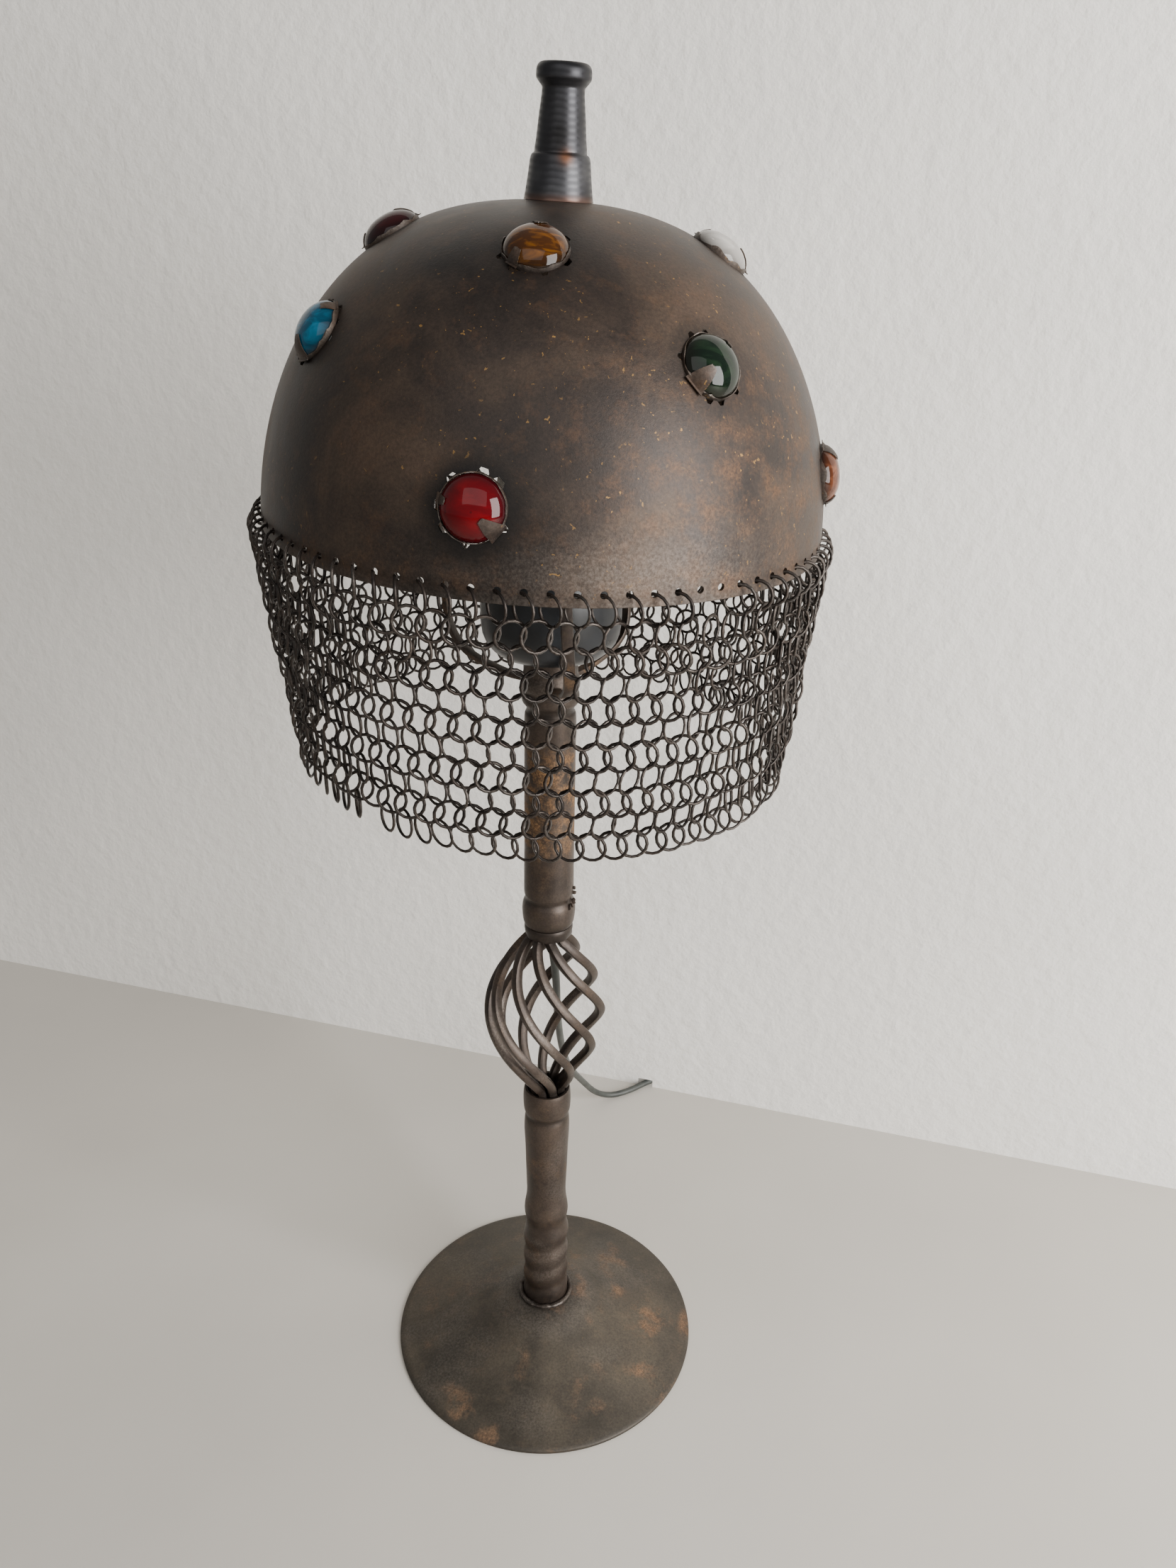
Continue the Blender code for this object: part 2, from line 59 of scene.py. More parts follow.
helmetJoint = jointNamed("helmet_turn")
rimCentre = Vector(helmetJoint["pos_m"])
helmetAxis = Vector(helmetJoint["axis"]).normalized()
helmetTurn = Vector((0, 0, 1)).rotation_difference(helmetAxis).to_matrix().to_4x4()
helmetPlace = Matrix.Translation(rimCentre) @ helmetTurn  # rim plane at Z 0, helmet's own axis up
leanX = helmetAxis.x / helmetAxis.z
leanY = helmetAxis.y / helmetAxis.z


def around(azimuth, radius, height):
    return Vector((radius * sin(azimuth), -radius * cos(azimuth), height))


def between(value, low, high):
    t = min(1.0, max(0.0, (value - low) / (high - low)))
    return t * t * (3 - 2 * t)


def hump(value, middle, width):
    return exp(-(((value - middle) / width) ** 2))


def turnGap(a, b):
    return abs((a - b + pi) % (2 * pi) - pi)


def offAxis(place):
    return hypot(place.x, place.y)


def azimuthOf(place):
    return atan2(place.x, -place.y)


def smoothLine(points, parts):
    # one smooth curve through the points, with parts steps between each two
    line = [Vector(p) for p in points]
    ends = [2 * line[0] - line[1], *line, 2 * line[-1] - line[-2]]
    made = []
    for a, b, c, d in zip(ends, ends[1:], ends[2:], ends[3:]):
        for i in range(parts):
            t = i / parts
            bend = (2 * a - 5 * b + 4 * c - d) * t * t + (3 * b - a - 3 * c + d) * t * t * t
            made.append(0.5 * (2 * b + (c - a) * t + bend))
    return [*made, line[-1]]


def smoothProfile(outline, parts):
    # a (radius, height) outline in mm, rounded and given in metres
    return inMetres((p.x, p.y) for p in smoothLine([(r, z, 0) for r, z in outline], parts))


def inMetres(outline):
    return [(radius * mm, height * mm) for radius, height in outline]


def blotch(place, scale, low, high, shift=(0, 0, 0)):
    return between(noise.noise(place * scale + Vector(shift)), low, high)


# Colours and nodes

def hexColour(text):
    parts = [int(text[i:i + 2], 16) / 255 for i in (0, 2, 4)]
    return (*[c / 12.92 if c <= 0.04045 else ((c + 0.055) / 1.055) ** 2.4 for c in parts], 1.0)


def addNode(tree, kind, settings=None, links=None):
    node = tree.nodes.new("ShaderNode" + kind)
    for key, value in (settings or {}).items():
        if isinstance(key, int) or key in node.inputs:
            node.inputs[key].default_value = value
        elif key == "stops":
            ramp = node.color_ramp
            while len(ramp.elements) < len(value):
                ramp.elements.new(0.5)
            for stop, (place, colour) in zip(ramp.elements, value):
                stop.position = place
                stop.color = hexColour(colour) if isinstance(colour, str) else (colour, colour, colour, 1)
        else:
            setattr(node, key, value)
    for key, socket in (links or {}).items():
        tree.links.new(socket, node.inputs[key])
    return node.outputs


def newMaterial(name, **sockets):
    material = bpy.data.materials.new(name)
    material.use_nodes = True
    tree = material.node_tree
    shader = tree.nodes["Principled BSDF"]
    for key, value in sockets.items():
        shader.inputs[key.replace("_", " ")].default_value = value
    return material, tree, shader, addNode(tree, "TexCoord")["Object"]


def perMm(size):
    return 1000.0 / size  # pattern scale for a feature of that many millimetres


def laidOver(tree, under, *layers):
    # each (mask, colour) over what is under it; a colour is a hex text or a socket
    for mask, over in layers:
        settings, links = {"data_type": "RGBA"}, {0: mask}
        for place, colour in ((6, under), (7, over)):
            if isinstance(colour, str):
                settings[place] = hexColour(colour)
            else:
                links[place] = colour
        under = addNode(tree, "Mix", settings, links)[2]
    return under


def dress(tree, shader, colour, rough=None, height=None, bump=None):
    # a finish's colour, gloss and relief, led to its shader; bump is (strength, depth in mm)
    tree.links.new(colour, shader.inputs["Base Color"])
    if rough is not None:
        tree.links.new(rough, shader.inputs["Roughness"])
    if bump:
        relief = addNode(tree, "Bump", {"Strength": bump[0], "Distance": bump[1] * mm}, {"Height": height})
        tree.links.new(relief[0], shader.inputs["Normal"])


# even finishes: tint is the pattern that colours one and varies its gloss, texture the one that
# raises it, each as (feature in mm, detail, coarseness)
evenLooks = {
    "extrudedPvcSheath": {  # PVC, extruded: dull dark grey-green with dust and faint handling marks
        "sockets": {"Roughness": 0.5}, "tint": (9, 5.0, 0.5), "stops": ((0.3, "2c2f2d"), (0.7, "454844")),
        "bump": (0.2, 0.05),
    },
    "mouldedPlugPvc": {  # moulded PVC: even and satin, with a very fine spark-eroded grain and some dust
        "sockets": {"Roughness": 0.42}, "tint": (6, 6.0, 0.5), "stops": ((0.35, "141416"), (0.7, "26262a")),
        "texture": (0.4, 2.0, 0.5), "bump": (0.25, 0.04),
    },
    "phenolicHolder": {  # moulded phenolic: as the plug, a little darker
        "sockets": {"Roughness": 0.42}, "tint": (6, 6.0, 0.5), "stops": ((0.35, "101012"), (0.7, "1d1d20")),
        "texture": (0.4, 2.0, 0.5), "bump": (0.25, 0.04),
    },
    "nickelPlatedBrass": {  # nickel plate, drawn pins: bright, warm where it is rubbed thin
        "sockets": {"Metallic": 1.0}, "tint": (2.5, 5.0, 0.5), "stops": ((0.35, "b9a98a"), (0.65, "d3cdc0")),
        "rough": (0.22, 0.38),
    },
    "paperCoveredWire": {  # twist tie: dull fibrous paper
        "sockets": {"Roughness": 0.75}, "tint": (0.8, 4.0, 0.5), "stops": ((0.3, "3a3a38"), (0.7, "52524e")),
    },
    "paleFloor": {  # painted board: pale, matt, hardly marked
        "sockets": {"Roughness": 0.6}, "tint": (240, 3.0, 0.5), "stops": ((0.3, "b9b4ac"), (0.7, "c4bfb7")),
        "texture": (11, 6.0, 0.6), "bump": (0.35, 0.3),
    },
    "limewashedPlaster": {  # limewash on rough plaster: chalky, with soft lumps
        "sockets": {"Roughness": 0.9}, "tint": (240, 3.0, 0.5), "stops": ((0.3, "e2dfda"), (0.7, "ebe8e3")),
        "texture": (11, 6.0, 0.6), "bump": (0.35, 4.5),
    },
    "stoveEnamelBlack": {  # stove enamel over steel: near black, smooth, a faint orange peel and dust
        "sockets": {"Roughness": 0.3}, "tint": (12, 6.0, 0.5), "stops": ((0.35, "0b0c0e"), (0.72, "1c2026")),
        "rough": (0.24, 0.42), "texture": (1.5, 1.0, 0.5), "bump": (0.15, 0.05),
    },
    "zincPlatedSteel": {  # zinc plate on steel: pale grey, dulled in blotches
        "sockets": {"Metallic": 1.0}, "tint": (5, 5.0, 0.5), "stops": ((0.35, "8b8984"), (0.7, "b5b4b0")),
        "rough": (0.3, 0.5),
    },
    "frostedSodaLimeGlass": {  # etched glass: white haze that lets some light through
        "sockets": {"Roughness": 0.42, "IOR": 1.5, "Transmission_Weight": 0.35}, "tint": (14, 4.0, 0.5),
        "stops": ((0.3, "dcdad4"), (0.7, "efeee9")),
    },
}


def evenFinish(name):
    look = evenLooks[name]
    material, tree, shader, coords = newMaterial(name, **look["sockets"])
    patterns = {}
    for key in ("tint", "texture"):
        if key in look:
            size, detail, coarse = look[key]
            settings = {"Scale": perMm(size), "Detail": detail, "Roughness": coarse}
            patterns[key] = addNode(tree, "TexNoise", settings, {"Vector": coords})["Fac"]
    tint = patterns["tint"]
    colour = addNode(tree, "ValToRGB", {"stops": look["stops"]}, {"Fac": tint})["Color"]
    rough = None
    if "rough" in look:
        low, high = look["rough"]
        rough = addNode(tree, "MapRange", {1: 0.3, 2: 0.7, 3: low, 4: high}, {0: tint})[0]
    dress(tree, shader, colour, rough, patterns.get("texture", tint), look.get("bump"))
    return material


ironPatterns = {  # detail, coarseness and distortion of each pattern; its size is in the piece's look
    "patch": (7.0, 0.62, 0.5), "mottle": (5.0, 0.7, 0.0), "grain": (4.0, 0.75, 0.0), "fleck": (2.0, 0.6, 0.4),
    "group": (2.0, 0.5, 0.0),
}


def ironFinish(name, look):
    # Iron under brown oxide and wax: broad patches, mottle, fine grain and ochre flecks in loose
    # groups, with rust, bare scuffs and soot where the piece carries those attributes; the scuff
    # colour also lays painted highlights and the soot colour painted shade where pieces paint them.
    material, tree, shader, coords = newMaterial(name, Metallic=look["metal"])
    patch, mottle, grain, fleck, group = (
        addNode(tree, "TexNoise", {"Scale": perMm(look[key + "Mm"]), "Detail": detail, "Roughness": coarse,
                                   "Distortion": bend}, {"Vector": coords})["Fac"]
        for key, (detail, coarse, bend) in ironPatterns.items())
    rust, scuff, soot = (addNode(tree, "Attribute", {"attribute_name": key})["Fac"]
                         for key in ("rust", "scuff", "soot"))
    depth, fleckFrom = look["grainDepth"], look["fleckFrom"]
    fades = (  # pattern, where its fade starts and ends, and what it gives there
        (mottle, 0.52, 0.72, 0.0, look["mottleMost"]),
        (mottle, 0.42, 0.60, 0.0, 1.0),
        (grain, 0.40, 0.62, 0.25, 1.0),
        (fleck, fleckFrom, fleckFrom + 0.03, 0.0, 1.0),
        (group, 0.42, 0.62, 0.05, look["fleckMost"]),
        (grain, 0.3, 0.7, 1 - depth, 1 + depth),
        (patch, 0.3, 0.7, *look["rough"]),
    )
    mottled, rustEdge, scuffAndHighlightEdge, fleckCut, groupCut, grainTone, rough = (
        addNode(tree, "MapRange", {1: start, 2: end, 3: least, 4: most}, {0: pattern})[0]
        for pattern, start, end, least, most in fades)
    rusted, scuffedAndHighlit, flecked = (
        addNode(tree, "Math", {"operation": "MULTIPLY"}, {0: a, 1: b})[0]
        for a, b in ((rust, rustEdge), (scuff, scuffAndHighlightEdge), (fleckCut, groupCut)))
    colour, rustColour = (
        addNode(tree, "ValToRGB", {"stops": stops}, {"Fac": pattern})["Color"]
        for stops, pattern in ((look["patches"], patch),
                               (((0.35, look["rustDark"]), (0.65, look["rustLight"])), grain)))
    # over the rust: the scuff colour, bare wear and painted highlights; last the near-black soot colour, soot
    # and painted shade
    colour = laidOver(tree, colour, (mottled, look["mottle"]), (rusted, rustColour), (scuffedAndHighlit, look["scuff"]),
                      (flecked, look["fleck"]), (soot, "120e0c"))
    colour = addNode(tree, "Mix", {"data_type": "RGBA", "blend_type": "MULTIPLY", 0: 1.0},
                     {6: colour, 7: grainTone})[2]
    rough = addNode(tree, "Math", {"operation": "MULTIPLY_ADD", 1: 0.25}, {0: rusted, 2: rough})[0]
    height = addNode(tree, "Math", {"operation": "MULTIPLY_ADD", 1: 0.35}, {0: mottle, 2: grain})[0]
    dress(tree, shader, colour, rough, height, (look["bump"], look["bumpMm"]))
    return material


# Making pieces

def spinRound(bm, steps):
    # what is there, turned once round the Z axis
    bmesh.ops.spin(bm, geom=bm.verts[:] + bm.edges[:], cent=(0, 0, 0), axis=(0, 0, 1), angle=2 * pi,
                   steps=steps, use_merge=True)
    bmesh.ops.remove_doubles(bm, verts=bm.verts, dist=1e-6)
    bmesh.ops.recalc_face_normals(bm, faces=bm.faces)
    return bm


def spun(outline, steps, closed=False):
    # a turned shape from its (radius, height) outline
    bm = bmesh.new()
    verts = [bm.verts.new((radius, 0, height)) for radius, height in outline]
    for pair in zip(verts, verts[1:]):
        bm.edges.new(pair)
    if closed:
        bm.edges.new((verts[-1], verts[0]))
    return spinRound(bm, steps)


def hoop(middle, height, wire, sides, steps):
    # a ring of round wire
    bm = bmesh.new()
    section = bmesh.ops.create_circle(bm, radius=wire / 2, segments=sides)["verts"]
    bmesh.ops.rotate(bm, verts=section, matrix=Matrix.Rotation(pi / 2, 3, "X"))
    bmesh.ops.translate(bm, verts=section, vec=(middle, 0, height))
    return spinRound(bm, steps)


def swept(points, sides, width, height=None, square=0.0, spin=0.0, upright=None):
    # a bar along a route: its section is a circle drawn towards a square, and spin turns it on the way
    route = [Vector(p) for p in points]
    last = len(route) - 1
    height = height or width
    bm = bmesh.new()
    ring = bmesh.ops.create_circle(bm, cap_ends=True, radius=1.0, segments=sides)["verts"]
    for vert in ring:
        angle = atan2(vert.co.y, vert.co.x)
        power = 2 + 4 * square
        size = (abs(cos(angle)) ** power + abs(sin(angle)) ** power) ** (-1 / power)
        vert.co = Vector((cos(angle) * size * width / 2, sin(angle) * size * height / 2, 0))
    tangents = [(route[min(i + 1, last)] - route[max(i - 1, 0)]).normalized() for i in range(last + 1)]
    side = tangents[0].orthogonal().normalized()
    loop = bm.edges[:]
    here = Matrix.Identity(4)
    for i, (place, ahead) in enumerate(zip(route, tangents)):
        if i:
            side = tangents[i - 1].rotation_difference(ahead) @ side
        if upright is not None:
            side = upright.cross(ahead).normalized()
        across = ahead.cross(side).normalized()
        station = Matrix((side, across, ahead)).transposed().to_4x4()
        station = Matrix.Translation(place) @ station @ Matrix.Rotation(spin * i / last, 4, "Z")
        if i:
            grown = bmesh.ops.extrude_edge_only(bm, edges=loop)["geom"]
            ring = [g for g in grown if isinstance(g, bmesh.types.BMVert)]
            fresh = set(ring)
            loop = list(dict.fromkeys(e for v in ring for e in v.link_edges if e.other_vert(v) in fresh))
        bmesh.ops.transform(bm, matrix=station @ here.inverted(), verts=ring)
        here = station
    bmesh.ops.holes_fill(bm, edges=loop, sides=0)
    bmesh.ops.recalc_face_normals(bm, faces=bm.faces)
    return bm


def widen(vert, factor):
    vert.co.x *= factor
    vert.co.y *= factor


def paint(bm, **tones):
    # a value for each vertex, from its place
    for name, tone in tones.items():
        layer = bm.verts.layers.float.new(name)
        for vert in bm.verts:
            vert[layer] = min(1.0, max(0.0, tone(vert.co)))


def meshOf(bm, name, material=None):
    mesh = bpy.data.meshes.new(name)
    bm.to_mesh(mesh)
    bm.free()
    if material:
        mesh.materials.append(material)
    return mesh


def newObject(name, data):
    obj = bpy.data.objects.new(name, data)
    bpy.context.scene.collection.objects.link(obj)
    return obj


def finishPiece(bm, name, material, body, replaced, place=None, sharp=35):
    if place is not None:
        bm.transform(place)
    mesh = meshOf(bm, name, material)
    mesh.shade_smooth()
    mesh.set_sharp_from_angle(angle=radians(sharp))
    obj = newObject(name, mesh)
    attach(obj, body)
    if replaced:
        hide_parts(*replaced)
    return obj


def joined(parts):
    # several bmeshes as one
    whole = bmesh.new()
    for part in parts:
        held = meshOf(part, "held")
        whole.from_mesh(held)
        bpy.data.meshes.remove(held)
    return whole


# Camera
camera = {
    "place": (0.0, -0.48581, 0.55912),
    "right": (0.999463, -0.025065, 0.021093),
    "up": (-0.008518, 0.422880, 0.906146),
    "lens": 27.73,
}


def makeCamera():
    data = bpy.data.cameras.new("lampView")
    data.sensor_width = 36.0
    data.lens = camera["lens"]
    data.clip_start = 0.01
    data.dof.use_dof = False
    right = Vector(camera["right"]).normalized()
    back = right.cross(Vector(camera["up"])).normalized()
    turn = Matrix((right, back.cross(right), back)).transposed().to_4x4()
    obj = newObject("lampView", data)
    obj.matrix_world = Matrix.Translation(camera["place"]) @ turn
    bpy.context.scene.camera = obj


makeCamera()
print("camera made")


# Cord: down through the basket, along the table and under the wall to its coil and plug

cord = {
    "diameter": 4.0 * mm,
    "route": (
        (0.0000, 0.0000, 0.2700),
        (0.0000, 0.0001, 0.2620),
        (0.0018, 0.0052, 0.2440),
        (0.0034, 0.0138, 0.2260),
        (0.0043, 0.0250, 0.2070),
        (0.0048, 0.0385, 0.1870),
        (0.0058, 0.0545, 0.1640),
        (0.0078, 0.0760, 0.1340),
        (0.0112, 0.0990, 0.1040),
        (0.0160, 0.1240, 0.0760),
        (0.0212, 0.1470, 0.0520),
        (0.0268, 0.1660, 0.0310),
        (0.0318, 0.1790, 0.0160),
        (0.0375, 0.1868, 0.0068),
        (0.0450, 0.1905, 0.0028),
        (0.0530, 0.1935, 0.0023),
        (0.0620, 0.1985, 0.0023),
        (0.0705, 0.2045, 0.0023),
        (0.0790, 0.2090, 0.0023),
        (0.0880, 0.2112, 0.0023),
    ),
    "coilAt": (0.1000, 0.2400),
    "cells": ((2, 0), (1, 0), (0, 0), (0, 1), (0, 2), (0, 3), (1, 3), (1, 2), (1, 1), (2, 1), (2, 2)),
    "innerR": 18.0 * mm,
    "lowest": 2.3 * mm,
    "perTurn": 24,
    "spacing": 1.01,  # of the turns, in diameters
    "leaves": 150,  # degrees round the last turn
    "stepUp": (180, 270),  # degrees between which a turn rises a layer
    "stepSideways": (250, 360),  # and between which it moves over a column
    "tail": ((0.1065, 0.2663, 0.0098), (0.1000, 0.2697, 0.0090), (0.0935, 0.2716, 0.0079),
             (0.0870, 0.2722, 0.0072), (0.0840, 0.2722, 0.0071)),
}


def coilPoints():
    # the turns lie in three columns; each steps over by one diameter late in a turn
    pitch = cord["diameter"] * cord["spacing"]
    cx, cy = cord["coilAt"]
    made = []
    last = len(cord["cells"]) - 1
    for turn, (column, layer) in enumerate(cord["cells"]):
        nextColumn, nextLayer = cord["cells"][min(turn + 1, last)]
        step = cord["stepSideways" if nextColumn != column else "stepUp"]
        for i in range(cord["perTurn"]):
            degrees = i * 360 / cord["perTurn"]
            if turn == last and degrees > cord["leaves"]:
                break
            share = between(degrees, *step)
            radius = cord["innerR"] + pitch * (column + (nextColumn - column) * share)
            height = cord["lowest"] + pitch * (layer + (nextLayer - layer) * share)
            angle = radians(degrees - 90)
            made.append(Vector((cx + radius * cos(angle), cy + radius * sin(angle), height)))
    return made


def makeCord():
    points = [*smoothLine(cord["route"], 2), *coilPoints(), *[Vector(p) for p in cord["tail"]]]
    curve = bpy.data.curves.new("mainsCord", "CURVE")
    curve.dimensions = "3D"
    curve.bevel_depth = cord["diameter"] / 2
    curve.bevel_resolution = 3
    curve.use_fill_caps = True
    line = curve.splines.new("POLY")
    line.points.add(len(points) - 1)
    for place, point in zip(line.points, points):
        place.co = (*point, 1.0)
    line.use_smooth = True
    curve.materials.append(evenFinish("extrudedPvcSheath"))
    obj = newObject("mainsCord", curve)
    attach(obj, "stand")
    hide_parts("cord_run", "cord_coil", "cord_tail")
    length = sum((b - a).length for a, b in zip(points, points[1:]))
    return obj, points[0], length


cordPiece, cordExit, cordLength = makeCord()
print(f"cord made, {cordLength:.3f} m")


# Plug, its strain relief, pins, and the tie round the coil

plug = {
    "frontLength": 15.0 * mm, "width": 25.0 * mm, "thick": 13.2 * mm, "neck": 8.6 * mm, "pinTip": 1.2 * mm,
    "rearWidth": 0.62, "rearThick": 0.78,  # shares of the front's
    "edge": 2.6 * mm, "ribs": 6, "groove": 0.55 * mm, "overlap": 2 * mm,
}


def laidAlong(bm, x, middle):
    # a turned shape laid along X, from x on
    bm.transform(Matrix.Translation((x, middle.y, middle.z)) @ Matrix.Rotation(pi / 2, 4, "Y"))
    return bm


def makePlug():
    low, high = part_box("plug_body")
    middle = (low + high) / 2
    body = bmesh.new()
    bmesh.ops.create_cube(body, size=1.0)
    for vert in body.verts:
        rear = vert.co.x > 0
        width = plug["width"] * (plug["rearWidth"] if rear else 1)
        thick = plug["thick"] * (plug["rearThick"] if rear else 1)
        x = low.x + (plug["frontLength"] if rear else 0)
        vert.co = Vector((x, middle.y + vert.co.y * width, middle.z + vert.co.z * thick))
    bmesh.ops.bevel(body, geom=body.edges[:], offset=plug["edge"], offset_type="OFFSET", affect="EDGES",
                    segments=4, profile=0.5, material=-1)
    # strain relief: a taper with ribs, in one moulding with the body
    reliefStart = low.x + plug["frontLength"] - plug["overlap"]
    reach = high.x - reliefStart
    steps = plug["ribs"] * 6
    outline = []
    for i in range(steps + 1):
        groove = plug["groove"] if i % 6 > 2 else 0
        outline.append((plug["neck"] / 2 * (1.35 - 0.55 * i / steps) - groove, i / steps * reach))
    relief = spun([(0, 0), *outline, (cord["diameter"] / 2 + 0.3 * mm, reach), (0, reach)], 32)
    body = joined([body, laidAlong(relief, reliefStart, middle)])
    pvc = evenFinish("mouldedPlugPvc")
    made = [finishPiece(body, "plugBody", pvc, "stand", ["plug_body"])]
    metal = evenFinish("nickelPlatedBrass")
    for number in ("1", "2"):
        node = f"plug_pin_{number}"
        low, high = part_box(node)
        radius = (high.z - low.z) / 2
        span = high.x - low.x
        tip = plug["pinTip"]
        pin = spun([(0, 0), (radius - tip, 0), (radius - 0.4 * tip, 0.3 * tip), (radius, tip), (radius, span),
                    (0, span)], 32)
        laidAlong(pin, low.x, (low + high) / 2)
        made.append(finishPiece(pin, f"plugPin{number}", metal, "stand", [node]))
    return made


tie = {
    "width": 4.0 * mm, "thick": 0.24 * mm, "radial": 6.5 * mm, "tall": 16.9 * mm, "square": 3.0,
    "at": 20.0,  # degrees round the coil
}


def makeTie():
    # paper twist tie: a flat band round the bundle, with its two ends twisted together on top
    out = Vector((cos(radians(tie["at"])), sin(radians(tie["at"])), 0))
    base = Vector((*cord["coilAt"], 0)) + out * (cord["innerR"] + cord["diameter"] * cord["spacing"])
    half = tie["tall"] / 2
    power = tie["square"]
    points = []
    for i in range(33):
        angle = -pi / 2 + 2 * pi * i / 32
        size = (abs(cos(angle)) ** power + abs(sin(angle)) ** power) ** (-1 / power)
        height = max(0.16 * mm, half + half * size * sin(angle))
        points.append(base + out * tie["radial"] * size * cos(angle) + Vector((0, 0, height)))
    along = out.cross(Vector((0, 0, 1)))
    parts = [swept(points, 8, tie["thick"], tie["width"], square=1.0, upright=along)]
    for sign in (-1, 1):
        route = [base + Vector((0, 0, tie["tall"] - 0.3 * mm)) + along * sign * 0.6 * mm * cos(k * 1.3)
                 + out * (k * 1.6 * mm - 2 * mm) + Vector((0, 0, 0.7 * mm + 0.5 * mm * sin(k * 1.3 + sign)))
                 for k in range(7)]
        parts.append(swept(smoothLine(route, 2), 6, 0.9 * mm))
    return finishPiece(joined(parts), "coilTie", evenFinish("paperCoveredWire"), "stand", ())


plugPieces = makePlug()
tiePiece = makeTie()
print("plug and tie made")


# Floor, wall and light

room = {
    "floorHalf": 3.0,
    "wallOut": (0.292, 0.956),
    "wallDistance": 0.2156,
    "wallLeft": -0.95,
    "wallRight": 0.80,
    "wallTop": 1.05,
    "gapMiddle": 0.0073,
    "gapHalf": 0.0052,
    "gapTop": 0.0056,
}


def makeRoom():
    floor = bmesh.new()
    bmesh.ops.create_grid(floor, x_segments=1, y_segments=1, size=room["floorHalf"])
    floorObj = newObject("paleFloor", meshOf(floor, "paleFloor", evenFinish("paleFloor")))
    # the wall is three panels round a small gap where the cord goes under it; from behind it is clear
    plaster = evenFinish("limewashedPlaster")
    tree = plaster.node_tree
    facing = addNode(tree, "NewGeometry")["Backfacing"]
    clear = addNode(tree, "BsdfTransparent")[0]
    front = tree.nodes["Principled BSDF"].outputs[0]
    mixed = addNode(tree, "MixShader", {}, {0: facing, 1: front, 2: clear})[0]
    tree.links.new(mixed, tree.nodes["Material Output"].inputs["Surface"])
    out = Vector((*room["wallOut"], 0)).normalized()
    along = Vector((out.y, -out.x, 0))
    foot = out * room["wallDistance"]
    left, right = room["gapMiddle"] - room["gapHalf"], room["gapMiddle"] + room["gapHalf"]
    panels = ((room["wallLeft"], left, 0), (left, right, room["gapTop"]), (right, room["wallRight"], 0))
    wall = bmesh.new()
    for start, end, low in panels:
        corners = ((start, low), (end, low), (end, room["wallTop"]), (start, room["wallTop"]))
        wall.faces.new([wall.verts.new(foot + along * u + Vector((0, 0, z))) for u, z in corners])
    bmesh.ops.remove_doubles(wall, verts=wall.verts, dist=1e-6)
    newObject("paleWall", meshOf(wall, "paleWall", plaster))


lights = {
    "window": {"at": (1.00, -0.85, 0.66), "aim": (0.0, 0.0, 0.42), "size": (0.8, 1.1), "power": 42.0},
    "room": {"at": (-0.3, -1.7, 1.7), "aim": (0.0, 0.0, 0.35), "size": (2.2, 1.6), "power": 15.0},
}
skyLight = {"colour": "f2f1ee", "strength": 0.42}


def makeLights():
    for name, look in lights.items():
        data = bpy.data.lights.new(name, "AREA")
        data.shape = "RECTANGLE"
        data.size, data.size_y = look["size"]
        data.energy = look["power"]
        data.color = (1.0, 0.985, 0.96)
        aim = Vector(look["aim"]) - Vector(look["at"])
        turn = aim.to_track_quat("-Z", "Y").to_matrix().to_4x4()
        newObject(name, data).matrix_world = Matrix.Translation(look["at"]) @ turn
    world = bpy.data.worlds.new("softRoom")
    world.use_nodes = True
    background = world.node_tree.nodes["Background"]
    background.inputs["Color"].default_value = hexColour(skyLight["colour"])
    background.inputs["Strength"].default_value = skyLight["strength"]
    bpy.context.scene.world = world


makeRoom()
makeLights()
print("room and light made")


# Finishes of the iron

sheetIron = {  # skull: sheet steel, oxidised brown and waxed, with dark scale and ochre flecks
    "metal": 0.5, "patchMm": 46, "mottleMm": 11, "grainMm": 1.1, "fleckMm": 2.1, "groupMm": 34,
    "patches": ((0.32, "1d1816"), (0.46, "302722"), (0.58, "40342b"), (0.72, "503f33")),
    "mottle": "553d2b", "mottleMost": 0.50, "rustDark": "4e3422", "rustLight": "855c36",
    "scuff": "6f6862", "fleck": "94713f", "fleckFrom": 0.68, "fleckMost": 0.8,
    "grainDepth": 0.30, "rough": (0.40, 0.56), "bump": 0.45, "bumpMm": 0.16,
}
barIron = {  # stem, bars and straps: wrought and turned iron, brown-grey, waxed until it shines a little
    **sheetIron, "metal": 0.6, "patchMm": 26, "mottleMm": 7, "grainMm": 0.9, "fleckMm": 1.8,
    "patches": ((0.30, "2a2421"), (0.48, "3d342e"), (0.64, "4a3f37"), (0.78, "584b40")),
    "mottle": "544536", "mottleMost": 0.3, "rustDark": "584231", "rustLight": "8d6c4b",
    "fleckFrom": 0.72, "fleckMost": 0.3, "rough": (0.36, 0.50), "bumpMm": 0.10,
}
footIron = {  # base: sheet steel, duller, with small brown rust blotches
    **sheetIron, "metal": 0.4, "patchMm": 34, "mottleMm": 9,
    "patches": ((0.30, "302c26"), (0.48, "403a32"), (0.62, "4a4339"), (0.76, "554c40")),
    "mottle": "5f5140", "mottleMost": 0.3, "rustDark": "5e4838", "rustLight": "83654b",
    "fleckFrom": 0.74, "fleckMost": 0.3, "rough": (0.48, 0.60),
}
wireIron = {  # rings: drawn wire, annealed dark, rubbed lighter in places
    **sheetIron, "metal": 0.65, "patchMm": 14, "mottleMm": 4, "grainMm": 0.8, "fleckMm": 1.8,
    "patches": ((0.30, "1b1715"), (0.50, "2b2522"), (0.68, "3a322d"), (0.80, "4d433c")),
    "mottle": "4a3a2e", "mottleMost": 0.3, "fleckFrom": 0.74, "fleckMost": 0.3,
    "rough": (0.30, 0.44), "bumpMm": 0.04,
}
sheetMaterial = ironFinish("oxidisedSheetSteelWaxed", sheetIron)
barMaterial = ironFinish("wroughtIronWaxed", barIron)
